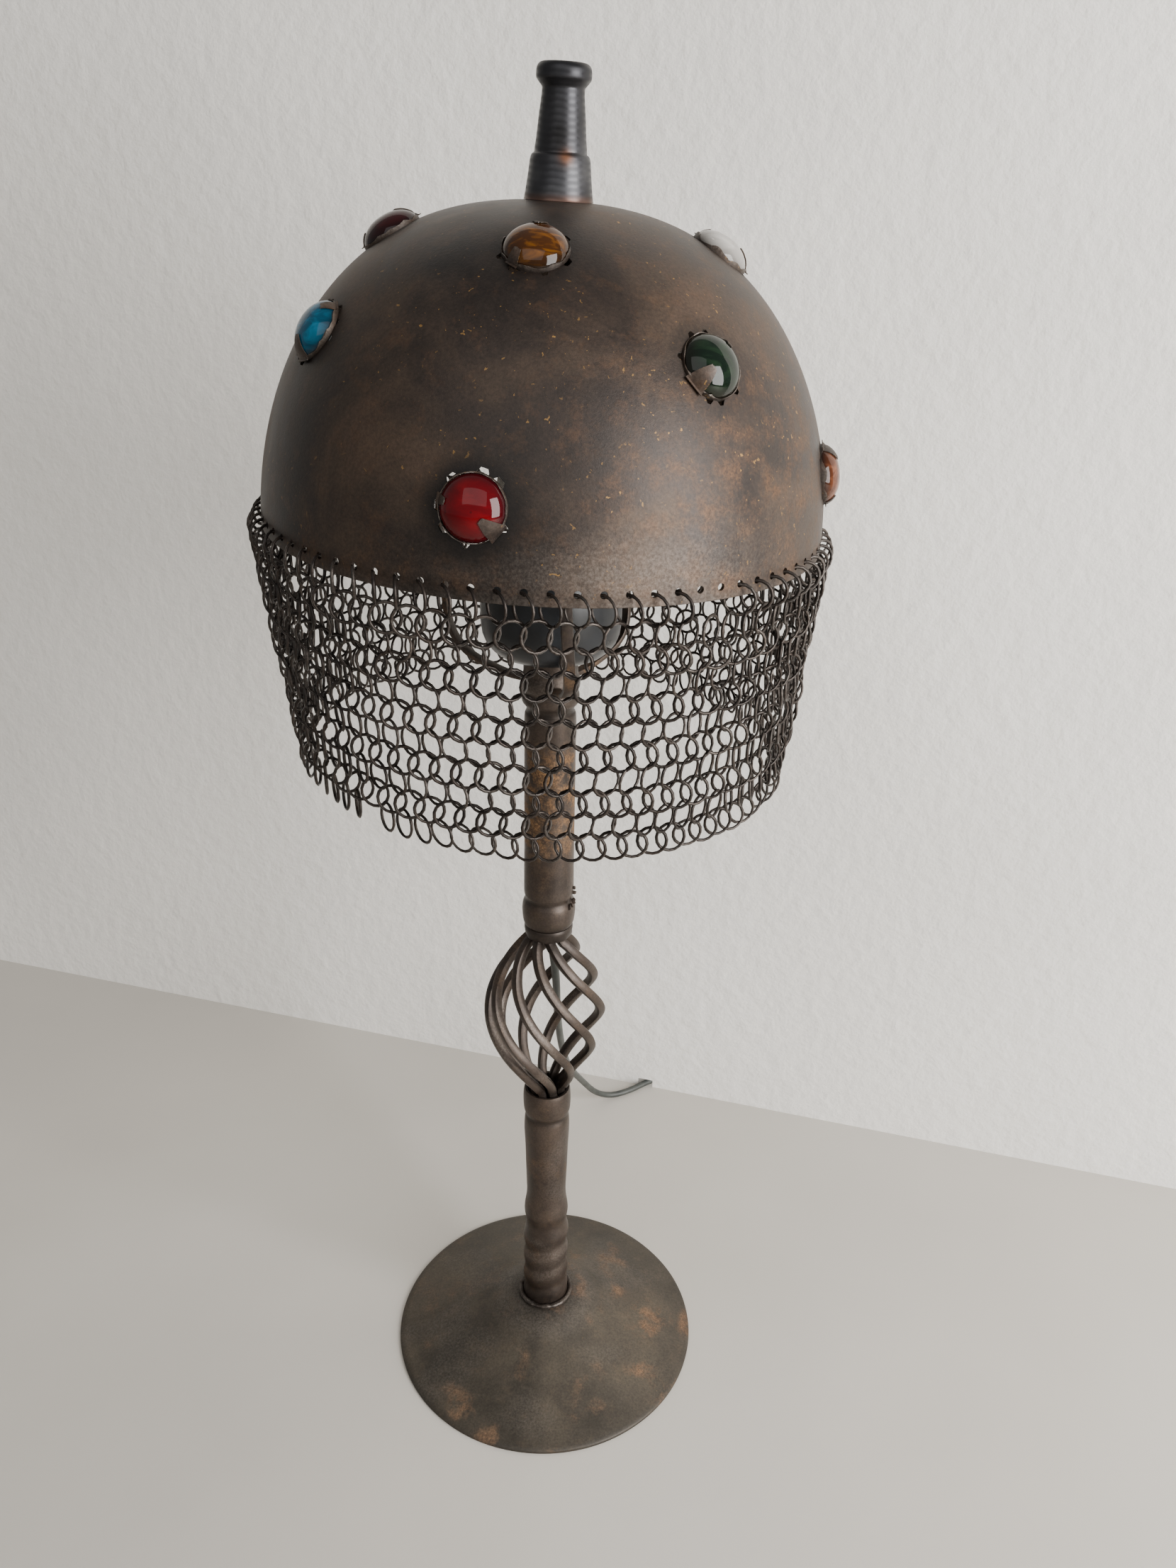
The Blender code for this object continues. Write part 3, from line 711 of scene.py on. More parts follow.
footMaterial = ironFinish("oxidisedSheetSteelRusty", footIron)
wireMaterial = ironFinish("annealedIronWire", wireIron)


def turnedSteel():
    # blued turned steel: cool dark grey, satin, with the lathe's fine rings round its own axis
    material, tree, shader, coords = newMaterial("bluedTurnedSteel", Metallic=0.8)
    upright = addNode(tree, "Mapping", {"vector_type": "TEXTURE", "Location": rimCentre,
                                        "Rotation": helmetTurn.to_euler()}, {"Vector": coords})[0]
    rings = addNode(tree, "TexWave", {"wave_type": "BANDS", "bands_direction": "Z", "Distortion": 0.6,
                                      "Scale": perMm(1.1) / 6.28, "Detail": 2.0, "Detail Scale": 0.4},
                    {"Vector": upright})["Fac"]
    tone = addNode(tree, "TexNoise", {"Scale": perMm(16), "Detail": 5.0}, {"Vector": coords})["Fac"]
    colour = addNode(tree, "ValToRGB", {"stops": ((0.3, "242324"), (0.55, "37373a"), (0.75, "4a4a4c"))},
                     {"Fac": tone})["Color"]
    # brown wear, and the dark soot colour, which also lays painted shade inside the bore
    brown, soot = (addNode(tree, "Attribute", {"attribute_name": key})["Fac"] for key in ("rust", "soot"))
    colour = laidOver(tree, colour, (brown, "6b4630"), (soot, "17171a"))
    rough = addNode(tree, "MapRange", {1: 0.0, 2: 1.0, 3: 0.34, 4: 0.46}, {0: rings})[0]
    dress(tree, shader, colour, rough, rings, (0.6, 0.08))
    return material


steelMaterial = turnedSteel()


# Base

base = {
    "radius": 80.1, "top": 26.0, "sheet": 1.3, "steps": 160, "waver": 0.25 * mm,
    "cone": ((14.6, 25.7), (21.0, 23.6), (30.0, 19.6), (40.0, 15.6), (50.0, 11.8), (60.0, 8.3), (70.0, 5.0),
             (78.2, 2.5)),
    # the turned-in edge, as (distance in from the widest point, height)
    "edge": ((0.7, 1.9), (0.2, 1.5), (0.0, 1.0), (0.1, 0.2), (0.5, 0.0), (3.4, 0.0), (4.0, 0.9)),
    "beadMiddle": 13.35 * mm, "beadRise": 1.0 * mm, "beadThick": 2.6 * mm,
}


def makeBase():
    top, sheet = base["top"] * mm, base["sheet"] * mm
    outer = smoothProfile(base["cone"], 4)
    edge = inMetres((base["radius"] - inward, z) for inward, z in base["edge"])
    under = [(r, z - sheet) for r, z in reversed(outer[::3])]
    bm = spun([(0, top), *outer, *edge, *under, (0, top - sheet)], base["steps"])
    for vert in bm.verts:
        if vert.co.z > 0.05 * mm:  # hand-planished sheet isn't quite true
            vert.co.z += base["waver"] * noise.noise(vert.co * 34) * between(offAxis(vert.co), 0.0, 0.05)

    def rusty(place):
        spots = noise.noise(place * 44 + Vector((3.1, 0.7, 0))) + 0.5 * noise.noise(place * 110)
        side = 0.5 + 0.5 * cos(azimuthOf(place) - 0.7)
        return between(spots, 0.10, 0.42) * (0.1 + 0.8 * side)

    # painted shade where the stem meets the dish and round the turned-in edge; scuffs in blotches and round
    # the stem
    paint(bm, rust=rusty,
          soot=lambda p: 0.45 * between(offAxis(p), 0.026, 0.014) + 0.3 * between(offAxis(p), 0.076, 0.0802),
          scuff=lambda p: 0.15 * blotch(p, 40, 0.1, 0.4, (9, 2, 5))
          + 0.25 * between(offAxis(p), 0.032, 0.020))
    finishPiece(bm, "baseDish", footMaterial, "stand", ["base_dish"])
    # brazed bead where the stem meets the base: lumpy, and blued by heat
    height = top + base["beadRise"]
    bead = hoop(base["beadMiddle"], height, base["beadThick"], 10, 90)
    for vert in bead.verts:
        azimuth = azimuthOf(vert.co)
        middle = around(azimuth, base["beadMiddle"], height)
        swell = 1 + 0.40 * noise.noise(Vector((cos(azimuth), sin(azimuth), 0)) * 7)
        vert.co = middle + (vert.co - middle) * swell
    paint(bead, soot=lambda p: 0.35 + 0.4 * noise.noise(p * 260),
          scuff=lambda p: 0.3 + 0.7 * noise.noise(p * 180))
    finishPiece(bead, "baseWeldBead", barMaterial, "stand", ["base_weld_ring"])


makeBase()
print("base made")


# Stem; outlines are (radius, height) in mm

stem = {
    "steps": 96,
    "lower": ((11.2, 165.6), (11.7, 163.5), (11.9, 158.0), (11.6, 152.5), (10.6, 149.7), (11.2, 147.2),
              (11.4, 143.0), (11.3, 137.0), (11.0, 128.0), (10.6, 115.0), (10.3, 105.0), (10.15, 98.5),
              (10.5, 93.5), (11.2, 89.0), (11.5, 84.5), (11.2, 80.5), (10.7, 77.2)),
    "beads": (69.2, 55.6, 42.2, 30.2), "beadHalf": 5.3, "slant": 2.6,
    "upper": ((11.6, 392.3), (11.7, 386.0), (12.0, 384.5), (12.7, 382.5), (12.7, 379.5), (11.9, 377.5),
              (12.5, 375.5), (12.3, 372.5), (10.6, 370.0), (10.4, 368.0), (11.2, 365.0), (11.3, 350.0),
              (11.3, 330.0), (11.3, 310.0), (11.4, 290.0), (11.4, 279.0), (11.0, 276.8), (10.9, 275.2),
              (12.0, 272.7), (12.35, 269.5), (12.2, 266.5), (11.9, 264.0), (11.4, 262.3), (11.1, 261.8)),
    "ropeR": 10.6, "ropeRise": 1.35,
    "foot": ((11.95, 28.5), (12.1, 26.4)),
    "lowerBore": ((0, 26.4), (0, 146.0), (9.7, 147.5), (9.85, 165.4)),
    "upperBore": ((8.65, 261.8), (8.65, 392.3)),
    "collar": ((9.85, 261.3), (10.9, 261.3), (11.3, 260.6), (11.35, 259.2), (11.1, 257.6), (11.0, 256.5),
               (10.7, 255.8), (9.85, 255.8)),
}


def ropeRadius(height):
    # four rounded turns, like a thick rope, below the bulge
    rise = max(hump(height, middle, stem["beadHalf"]) for middle in stem["beads"])
    return stem["ropeR"] + stem["ropeRise"] * rise


def makeStem():
    upper = smoothProfile(stem["lower"], 3)
    rope = inMetres((ropeRadius(z), z) for z in [76.5 - i * 1.0 for i in range(48)])
    bm = spun([*upper, *rope, *inMetres([*stem["foot"], *stem["lowerBore"]])], stem["steps"], closed=True)
    for vert in bm.verts:
        radius = offAxis(vert.co)
        if radius < 10.2 * mm:
            continue
        held = between(vert.co.z, 0.087, 0.076) * between(vert.co.z, 0.0268, 0.033)
        if held > 0:  # the rope's turns slope down to one side
            slope = stem["slant"] * sin(azimuthOf(vert.co) + 0.5)
            widen(vert, 1 + (ropeRadius(vert.co.z / mm - slope) * mm / radius - 1) * held)
        widen(vert, 1 + 0.012 * noise.noise(vert.co * 90))
    # painted shade in the groove under the mouth and inside the bore; darker towards the foot
    paint(bm, rust=lambda p: 0.18 * blotch(p, 50, 0.12, 0.4, (1, 4, 2)),
          soot=lambda p: 0.2 * between(p.z, 0.038, 0.027) + 0.5 * hump(p.z, 0.1497, 0.0016)
          + 0.75 * between(offAxis(p), 0.0102, 0.0098),
          scuff=lambda p: 0.25 * blotch(p, 45, 0.15, 0.45, (7, 1, 3)))
    finishPiece(bm, "lowerStem", barMaterial, "stand", ["lower_stem"])

    outside = smoothProfile(stem["upper"], 5)
    bm = spun([*outside, *inMetres(stem["upperBore"])], stem["steps"], closed=True)
    for vert in bm.verts:
        if offAxis(vert.co) > 9.5 * mm:
            widen(vert, 1 + 0.010 * noise.noise(vert.co * 70))
    # painted shade in the two grooves and just above the collar
    paint(bm, rust=lambda p: 1.15 * between(p.z, 0.296, 0.312) * between(p.z, 0.358, 0.344)
          + 0.12 * blotch(p, 60, 0.15, 0.4),
          soot=lambda p: 0.55 * hump(p.z, 0.369, 0.002) + 0.45 * hump(p.z, 0.2756, 0.0015)
          + 0.3 * between(p.z, 0.267, 0.262),
          scuff=lambda p: 0.2 * blotch(p, 45, 0.15, 0.45) + 0.35 * hump(p.z, 0.381, 0.004))
    finishPiece(bm, "upperTube", barMaterial, "stand", ["upper_tube"])

    collar = spun(inMetres(stem["collar"]), stem["steps"], closed=True)
    for vert in collar.verts:
        if vert.co.z < 0.2575 and offAxis(vert.co) > 0.0104:  # dressed down over the bars
            widen(vert, 1 + 0.018 * cos(8 * azimuthOf(vert.co) + 1.0))
    # painted shade: the collar, tucked between the tube and the bars, darker all over
    paint(collar, soot=lambda p: 0.5)
    finishPiece(collar, "basketCollar", barMaterial, "stand", ["basket_collar"])
    # torn burr left by the weld at the tube's foot
    rough = Random(4)
    shards = []
    for _ in range(7):
        shard = bmesh.new()
        bmesh.ops.create_icosphere(shard, subdivisions=1, radius=1.0)
        azimuth = radians(62 + rough.uniform(-16, 20))
        height = rough.uniform(272.5, 283.0) * mm
        size = Vector((rough.uniform(0.4, 0.9), rough.uniform(0.5, 1.3), rough.uniform(0.7, 1.8))) * mm
        for vert in shard.verts:
            vert.co *= 1 + 0.5 * noise.noise(vert.co * 2 + Vector((height * 900, 0, 0)))
        turn = Matrix.Rotation(azimuth, 4, "Z") @ Matrix.Rotation(rough.uniform(-0.8, 0.8), 4, "Y")
        place = Matrix.Translation(around(azimuth, 11.9 * mm, height))
        shard.transform(place @ turn @ Matrix.Diagonal((*size, 1)))
        shards.append(shard)
    finishPiece(joined(shards), "weldBurr", barMaterial, "stand", (), sharp=20)


makeStem()
print("stem made")


# Twisted basket: square-edged bars

basket = {
    "bars": 8, "width": 4.6 * mm, "top": 254.2 * mm, "bottom": 166.8 * mm, "belly": 26.8 * mm,
    "neck": 7.2 * mm, "turn": 2.628, "start": -1.493, "off": 1.5 * mm,
    "turnBend": 0.788, "bellyBend": 0.921, "bellyFull": 1.02,  # how the twist and the belly are spread
}


def basketPoint(share, start):
    angle = start + basket["turn"] * share ** basket["turnBend"]
    full = sin(pi * share ** basket["bellyBend"]) ** basket["bellyFull"]
    radius = basket["neck"] + (basket["belly"] - basket["neck"]) * full
    middle = around(angle, radius, basket["top"] + (basket["bottom"] - basket["top"]) * share)
    return middle - Vector((basket["off"] * sin(pi * share), 0, 0))


def makeBasket():
    jitter = Random(11)
    for bar in range(basket["bars"]):
        start = basket["start"] - bar * 2 * pi / basket["bars"]
        middle = [basketPoint(i / 30, start) for i in range(31)]
        head = around(start - 0.06, basket["neck"], basket["top"] + 6.0 * mm)
        foot = around(start + basket["turn"] + 0.25, basket["neck"], basket["bottom"] - 9.4 * mm)
        bm = swept(smoothLine([head, *middle, foot], 2), 16, basket["width"] * 0.93, square=0.55, spin=1.5)
        for vert in bm.verts:
            vert.co += 0.07 * mm * noise.noise_vector(vert.co * 160)
        shift = Vector((jitter.random(), jitter.random(), 0)) * 9
        # painted shade where the bars run into the collar and into the mouth
        paint(bm, soot=lambda p: 0.45 * between(p.z, 0.247, 0.256) + 0.45 * between(p.z, 0.176, 0.166),
              rust=lambda p: 0.15 * blotch(p, 70, 0.1, 0.4, shift),
              scuff=lambda p: 0.3 * blotch(p, 90, 0.1, 0.4, shift))
        finishPiece(bm, f"basketBar{bar + 1}", barMaterial, "stand", [f"basket_bar_{bar + 1}"])


makeBasket()
print("basket made")


# Helmet: skull, with seats for the cabochons and lacing holes along the rim

skull = {
    "radius": 110.2 * mm, "height": 116.8 * mm, "fullness": 0.818, "sheet": 1.3 * mm,
    "steps": 160, "rows": 46, "rowsInside": 24, "topHole": 4.3 * mm, "lacing": 80, "laceUp": 4.5 * mm,
    "laceRadius": 1.35 * mm, "lacePhase": radians(1.5),
}
gem = {
    "radius": 10.9 * mm, "rise": 6.2 * mm, "seat": 11.15 * mm, "notch": 12.9 * mm, "notches": 7,
    "rows": {"low": 14.6, "middle": 38.2, "high": 61.8},  # degrees up the skull
    "back": ((0.985, -0.8), (0.92, -1.8), (0.6, -3.2), (0, -3.8)),  # share of the radius, mm below the seat
}


def skullPoint(angle, inset=0.0):
    radius = (skull["radius"] - inset) * max(cos(angle), 1e-6) ** skull["fullness"]
    return radius, (skull["height"] - inset) * sin(angle)


def gemPlaces():
    # the twelve cabochons, at the CAD's places on the skull, as (node, short name, colour, matrix)
    inverse = helmetPlace.inverted()
    for node in sorted(frame["nodes"]):
        if not node.startswith("gem_"):
            continue
        _, row, number, colour = node.split("_")
        low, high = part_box(node)
        azimuth = azimuthOf(inverse @ ((low + high) / 2))
        angle = radians(gem["rows"][row])
        r0, z0 = skullPoint(angle - 0.001)
        r1, z1 = skullPoint(angle + 0.001)
        normal = around(azimuth, z1 - z0, r0 - r1).normalized()
        sideways = Vector((cos(azimuth), sin(azimuth), 0))
        turn = Matrix((sideways, normal.cross(sideways), normal)).transposed().to_4x4()
        place = Matrix.Translation(around(azimuth, *skullPoint(angle)))
        yield node, row.capitalize() + number, colour, place @ turn


gems = list(gemPlaces())
# where each setting's long claws lie, in degrees from its right-hand side
claws = {
    "gem_low_1_red": (-38, 170), "gem_low_2_amber": (100, 250), "gem_high_1_amber": (88, 235),
    "gem_middle_1_blue": (-75, 60), "gem_middle_2_green": (212, 40), "gem_high_2_clear": (-75, 60),
}


def clawsOf(node):
    spread = Random(sum(ord(c) for c in node))
    return claws.get(node) or tuple(spread.uniform(0, 120) + 180 * k for k in range(2))


def notchesOf(node):
    spread = Random(len(node) * 7 + ord(node[-1]) + ord(node[5]))
    return [spread.uniform(0, 50) + 52 * k for k in range(gem["notches"])]


def drilled(radius, depth, sides, place):
    drill = bmesh.new()
    bmesh.ops.create_cone(drill, cap_ends=True, segments=sides, radius1=radius, radius2=radius, depth=depth)
    drill.transform(place)
    return drill


def cutBy(bm, tools):
    # the bmesh with the tools' shapes cut out of it
    cutter = newObject("cutters", meshOf(joined(tools), "cutters"))
    blank = newObject("blank", meshOf(bm, "blank"))
    boolean = blank.modifiers.new("holes", "BOOLEAN")
    boolean.operation = "DIFFERENCE"
    boolean.solver = "EXACT"
    boolean.object = cutter
    cut = bpy.data.meshes.new_from_object(blank.evaluated_get(bpy.context.evaluated_depsgraph_get()))
    for obj in (blank, cutter):
        bpy.data.objects.remove(obj, do_unlink=True)
    made = bmesh.new()
    made.from_mesh(cut)
    bpy.data.meshes.remove(cut)
    return made


def skullOutline():
    tallest = pi / 2 * 0.985
    hole, sheet, crown, widest = (skull[key] for key in ("topHole", "sheet", "height", "radius"))

    def side(rows, inset):
        points = [skullPoint(tallest * i / rows, inset) for i in range(rows + 1)]
        return [(r, z) for r, z in points if r > hole + 0.5 * mm][1:]

    rim = [(widest - sheet + 0.25 * mm, 0.0), (widest - 0.25 * mm, 0.0), (widest - 0.02 * mm, 0.25 * mm)]
    return [*rim, *side(skull["rows"], 0.0), (hole, crown - 0.05 * mm), (hole, crown - sheet),
            *reversed(side(skull["rowsInside"], sheet)), (widest - sheet, 0.25 * mm)]


def makeSkull():
    shell = spun(skullOutline(), skull["steps"], closed=True)
    for vert in shell.verts:  # raised by hand, so a little uneven
        out = Vector((vert.co.x, vert.co.y, vert.co.z * 0.9)).normalized()
        free = between(vert.co.z, 0.0, 0.02) * between(vert.co.z, 0.1155, 0.108)
        vert.co += out * 0.35 * mm * noise.noise(vert.co * 19) * free
    cutters = []
    for i in range(skull["lacing"]):
        azimuth = skull["lacePhase"] + i * 2 * pi / skull["lacing"]
        place = Matrix.Translation(around(azimuth, skull["radius"] - 0.6 * mm, skull["laceUp"]))
        turn = Matrix.Rotation(azimuth, 4, "Z") @ Matrix.Rotation(pi / 2, 4, "X")
        cutters.append(drilled(skull["laceRadius"], 8 * mm, 12, place @ turn))
    for node, _, _, matrix in gems:
        seat = drilled(gem["seat"], 14 * mm, 60, Matrix.Identity(4))
        notches = notchesOf(node)
        for vert in seat.verts:
            degrees = atan2(vert.co.y, vert.co.x) * 180 / pi
            if any(abs((degrees - notch + 180) % 360 - 180) < 7.5 for notch in notches):
                widen(vert, gem["notch"] / gem["seat"])
        seat.transform(matrix)
        cutters.append(seat)
    bm = cutBy(shell, cutters)
    centres = [(matrix.translation, 1.0 if node == "gem_low_1_red" else 0.55) for node, _, _, matrix in gems]

    # painted shade: a dark ring round each setting, strongest round the red one, and the left side darker;
    # dark scale in blotches
    def skullSootAndShade(place):
        near = max(dark * hump((place - centre).length, 12.0 * mm, 5.5 * mm) for centre, dark in centres)
        side = 0.22 * between(place.x, 0.02, -0.10)
        return 0.7 * near + side + 0.25 * blotch(place, 14, 0.1, 0.45, (2, 5, 1))

    # a light patch at the lower front right, partly scuffing and partly a painted highlight, and painted
    # light along the rim's edge
    def scuffedAndHighlit(place):
        low = hump(azimuthOf(place), radians(14), radians(26)) * hump(place.z, 9 * mm, 12 * mm)
        return 0.42 * low + 0.25 * between(place.z, 3 * mm, 0.0)

    def rusty(place):
        right = hump(azimuthOf(place), radians(48), radians(34)) * hump(place.z, 34 * mm, 34 * mm)
        rim = 0.7 * hump(place.z, 6 * mm, 4 * mm) * (0.4 + 0.6 * noise.noise(place * 40))
        return 0.3 * right + max(0.0, rim) * 0.35

    paint(bm, soot=skullSootAndShade, scuff=scuffedAndHighlit, rust=rusty)
    finishPiece(bm, "helmetSkull", sheetMaterial, "helmet", ["helmet_skull"], helmetPlace,
                sharp=40)


makeSkull()
print("skull made")


# Glass cabochons and their settings

glassLooks = {
    # pressed glass over foil: deep colour with streaks and seeds inside; its brighter core and darker edge
    # are painted light, the glow the foil sends back through the dome
    "red": {"edge": "180104", "core": "4c0108", "streak": "66040c", "streakMm": 9, "clear": 0.0},
    "wine": {"edge": "0e0203", "core": "240406", "streak": "34080b", "streakMm": 9, "clear": 0.0},
    "amber": {"edge": "160c04", "core": "361c05", "streak": "663d0b", "streakMm": 3.0, "clear": 0.0},
    "blue": {"edge": "041c28", "core": "084259", "streak": "1a6a88", "streakMm": 6, "clear": 0.0},
    "green": {"edge": "100d07", "core": "08150d", "streak": "182a1a", "streakMm": 5, "clear": 0.1},
    "clear": {"edge": "7c7874", "core": "b3afaa", "streak": "d2cec8", "streakMm": 7, "clear": 0.3},
    "brown": {"edge": "22110a", "core": "502a17", "streak": "77472f", "streakMm": 4, "clear": 0.0},
}


def glassFinish(colourName, look):
    material, tree, shader, coords = newMaterial(
        f"pressedGlass{colourName.capitalize()}", Roughness=0.05, IOR=1.52, Transmission_Weight=look["clear"],
        Specular_IOR_Level=0.26)
    flat = addNode(tree, "Mapping", {"vector_type": "POINT", "Scale": (0.35, 1.0, 1.0)},
                   {"Vector": coords})[0]
    streak = addNode(tree, "TexNoise", {"Scale": perMm(look["streakMm"]), "Detail": 4.0, "Distortion": 1.2},
                     {"Vector": flat})["Fac"]
    crown = addNode(tree, "Attribute", {"attribute_name": "crown"})["Fac"]
    seeds = addNode(tree, "TexVoronoi", {"Scale": perMm(4.5)}, {"Vector": coords})["Distance"]
    streaked, deep, seeded = (
        addNode(tree, "MapRange", {1: start, 2: end, 4: most}, {0: pattern})[0]
        for pattern, start, end, most in (
            (streak, 0.45, 0.68, 1.0), (crown, 0.05, 0.75, 1.0), (seeds, 0.12, 0.05, 0.5)))
    inner = laidOver(tree, look["core"], (streaked, look["streak"]))
    # painted light: the core colour where the dome stands high, the darker edge colour where it is low
    colour = laidOver(tree, look["edge"], (deep, inner), (seeded, look["edge"]))
    wave = addNode(tree, "TexNoise", {"Scale": perMm(8), "Detail": 1.0}, {"Vector": coords})["Fac"]
    dress(tree, shader, colour, None, wave, (0.15, 0.15))
    return material


def domeHeight(radius):
    share = min(1.0, radius / gem["radius"])
    return gem["rise"] * max(0.0, 1 - share ** 2.3) ** 0.62


def makeGems():
    glass = {name: glassFinish(name, look) for name, look in glassLooks.items()}
    odd = {"gem_low_2_amber": "brown", "gem_high_4_red": "wine"}
    radii = [gem["radius"] * sin(i * pi / 2 / 14) for i in range(15)]
    dome = [(0, gem["rise"]), *[(r, domeHeight(r)) for r in radii[1:]]]
    back = [(gem["radius"] * share, z * mm) for share, z in gem["back"]]
    for node, label, colour, matrix in gems:
        bm = spun([*dome, *back], 48)
        paint(bm, crown=lambda p: domeHeight(offAxis(p)) / gem["rise"] if p.z > -0.1 * mm else 0.0)
        finishPiece(bm, f"gem{label}{colour.capitalize()}", glass[odd.get(node, colour)], "helmet", [node],
                    helmetPlace @ matrix, 60)


setting = {  # sizes in mm
    "lip": ((11.02, -0.9), (11.32, -0.9), (11.36, 0.9), (11.05, 1.0)),
    "claws": ({"reach": 5.4, "width": 7.6, "narrow": 0.72}, {"reach": 2.6, "width": 4.2, "narrow": 0.45}),
    "start": 1.1, "thick": 0.32,
}


def makeLip(node, tear):
    lip = spun(inMetres(setting["lip"]), 60, closed=True)
    for vert in lip.verts:
        if vert.co.z > 0:
            angle = atan2(vert.co.y, vert.co.x)
            depth = tear.random() * 0.35 + ord(node[-1])
            torn = noise.noise(Vector((cos(angle) * 2.2, sin(angle) * 2.2, depth)))
            vert.co.z = (0.75 + 1.5 * torn) * mm
            widen(vert, 1 - 0.012 * (1 + torn))
    # the torn top of the lip lighter, partly bare cut edge and partly a painted highlight; painted shade
    # below the skull's surface, in the seat
    paint(lip, scuff=lambda p: 0.6 * between(p.z, 0.2 * mm, 0.9 * mm),
          soot=lambda p: 0.5 * between(p.z, 0.1 * mm, -0.6 * mm))
    return lip


def makeClaw(look, degrees, tear):
    claw = bmesh.new()
    bmesh.ops.create_grid(claw, x_segments=6, y_segments=8, size=0.5)
    reach = look["reach"] + tear.uniform(-0.4, 0.5)
    width = look["width"] + tear.uniform(-0.5, 0.5)
    for vert in claw.verts:
        along = vert.co.y + 0.5
        ragged = 0.35 * noise.noise(Vector((vert.co.x * 5, along * 2, degrees * 0.1)))
        inward = (reach + setting["start"]) * along + ragged * along
        distance = gem["radius"] + (setting["start"] - inward) * mm
        sideways = vert.co.x * width * (1 - look["narrow"] * along ** 1.3) * mm
        flat = hypot(distance, sideways)
        height = domeHeight(flat) + 0.22 * mm if flat < gem["radius"] * 0.995 else 0.1 * mm
        vert.co = Vector((distance, sideways, max(height, 0.12 * mm + 0.35 * mm * along)))
    bmesh.ops.recalc_face_normals(claw, faces=claw.faces)
    bmesh.ops.solidify(claw, geom=claw.faces[:], thickness=-setting["thick"] * mm)
    bmesh.ops.recalc_face_normals(claw, faces=claw.faces)
    tip = gem["radius"] - reach * mm
    # claw tips lighter: bare metal, and a painted highlight on them
    paint(claw, scuff=lambda p: 0.4 * between(p.x, tip + 1.4 * mm, tip + 0.2 * mm) + 0.05)
    claw.transform(Matrix.Rotation(radians(degrees), 4, "Z"))
    return claw


def makeSettings():
    # each seat was pierced and its cut edge bent up round the glass: a thin torn lip and two claws
    for node, label, _, matrix in gems:
        tear = Random(ord(node[4]) * 31 + ord(node[-1]))
        parts = [makeLip(node, tear)]
        for look, degrees in zip(setting["claws"], clawsOf(node)):
            parts.append(makeClaw(look, degrees, tear))
        finishPiece(joined(parts), f"setting{label}", sheetMaterial, "helmet", (),
                    helmetPlace @ matrix, 30)


makeGems()
makeSettings()
print("cabochons made")


# Mail skirt: eleven rows of eighty linked rings

mail = {
    "rows": 11, "perRow": 80, "ringMid": 5.42 * mm, "wire": 1.30 * mm, "topDrop": 0.9 * mm,
    "pitchTop": 8.85 * mm, "pitchBottom": 9.35 * mm, "yaw": radians(22), "laceYaw": radians(52),
    "radii": ((0.0, 110.6), (9.0, 111.0), (29.0, 108.5), (49.0, 106.0), (69.0, 104.3), (89.0, 101.0),
              (100.0, 99.0)),  # mm below the rim, and how far out the rings hang there
    "missing": {(10, 71), (0, 6), (0, 7)},
    "yawSpread": 4.5, "tiltSpread": 2.4, "turnSpread": 0.09, "dropSpread": 0.10 * mm, "wave": 0.9 * mm,
    "looseWire": 0.35 * mm,
}


def mailRadius(drop):
    steps = mail["radii"]
    for (d0, r0), (d1, r1) in zip(steps, steps[1:]):
        if drop <= d1 * mm:
            return (r0 + (r1 - r0) * max(0.0, drop - d0 * mm) / ((d1 - d0) * mm)) * mm
    return steps[-1][1] * mm


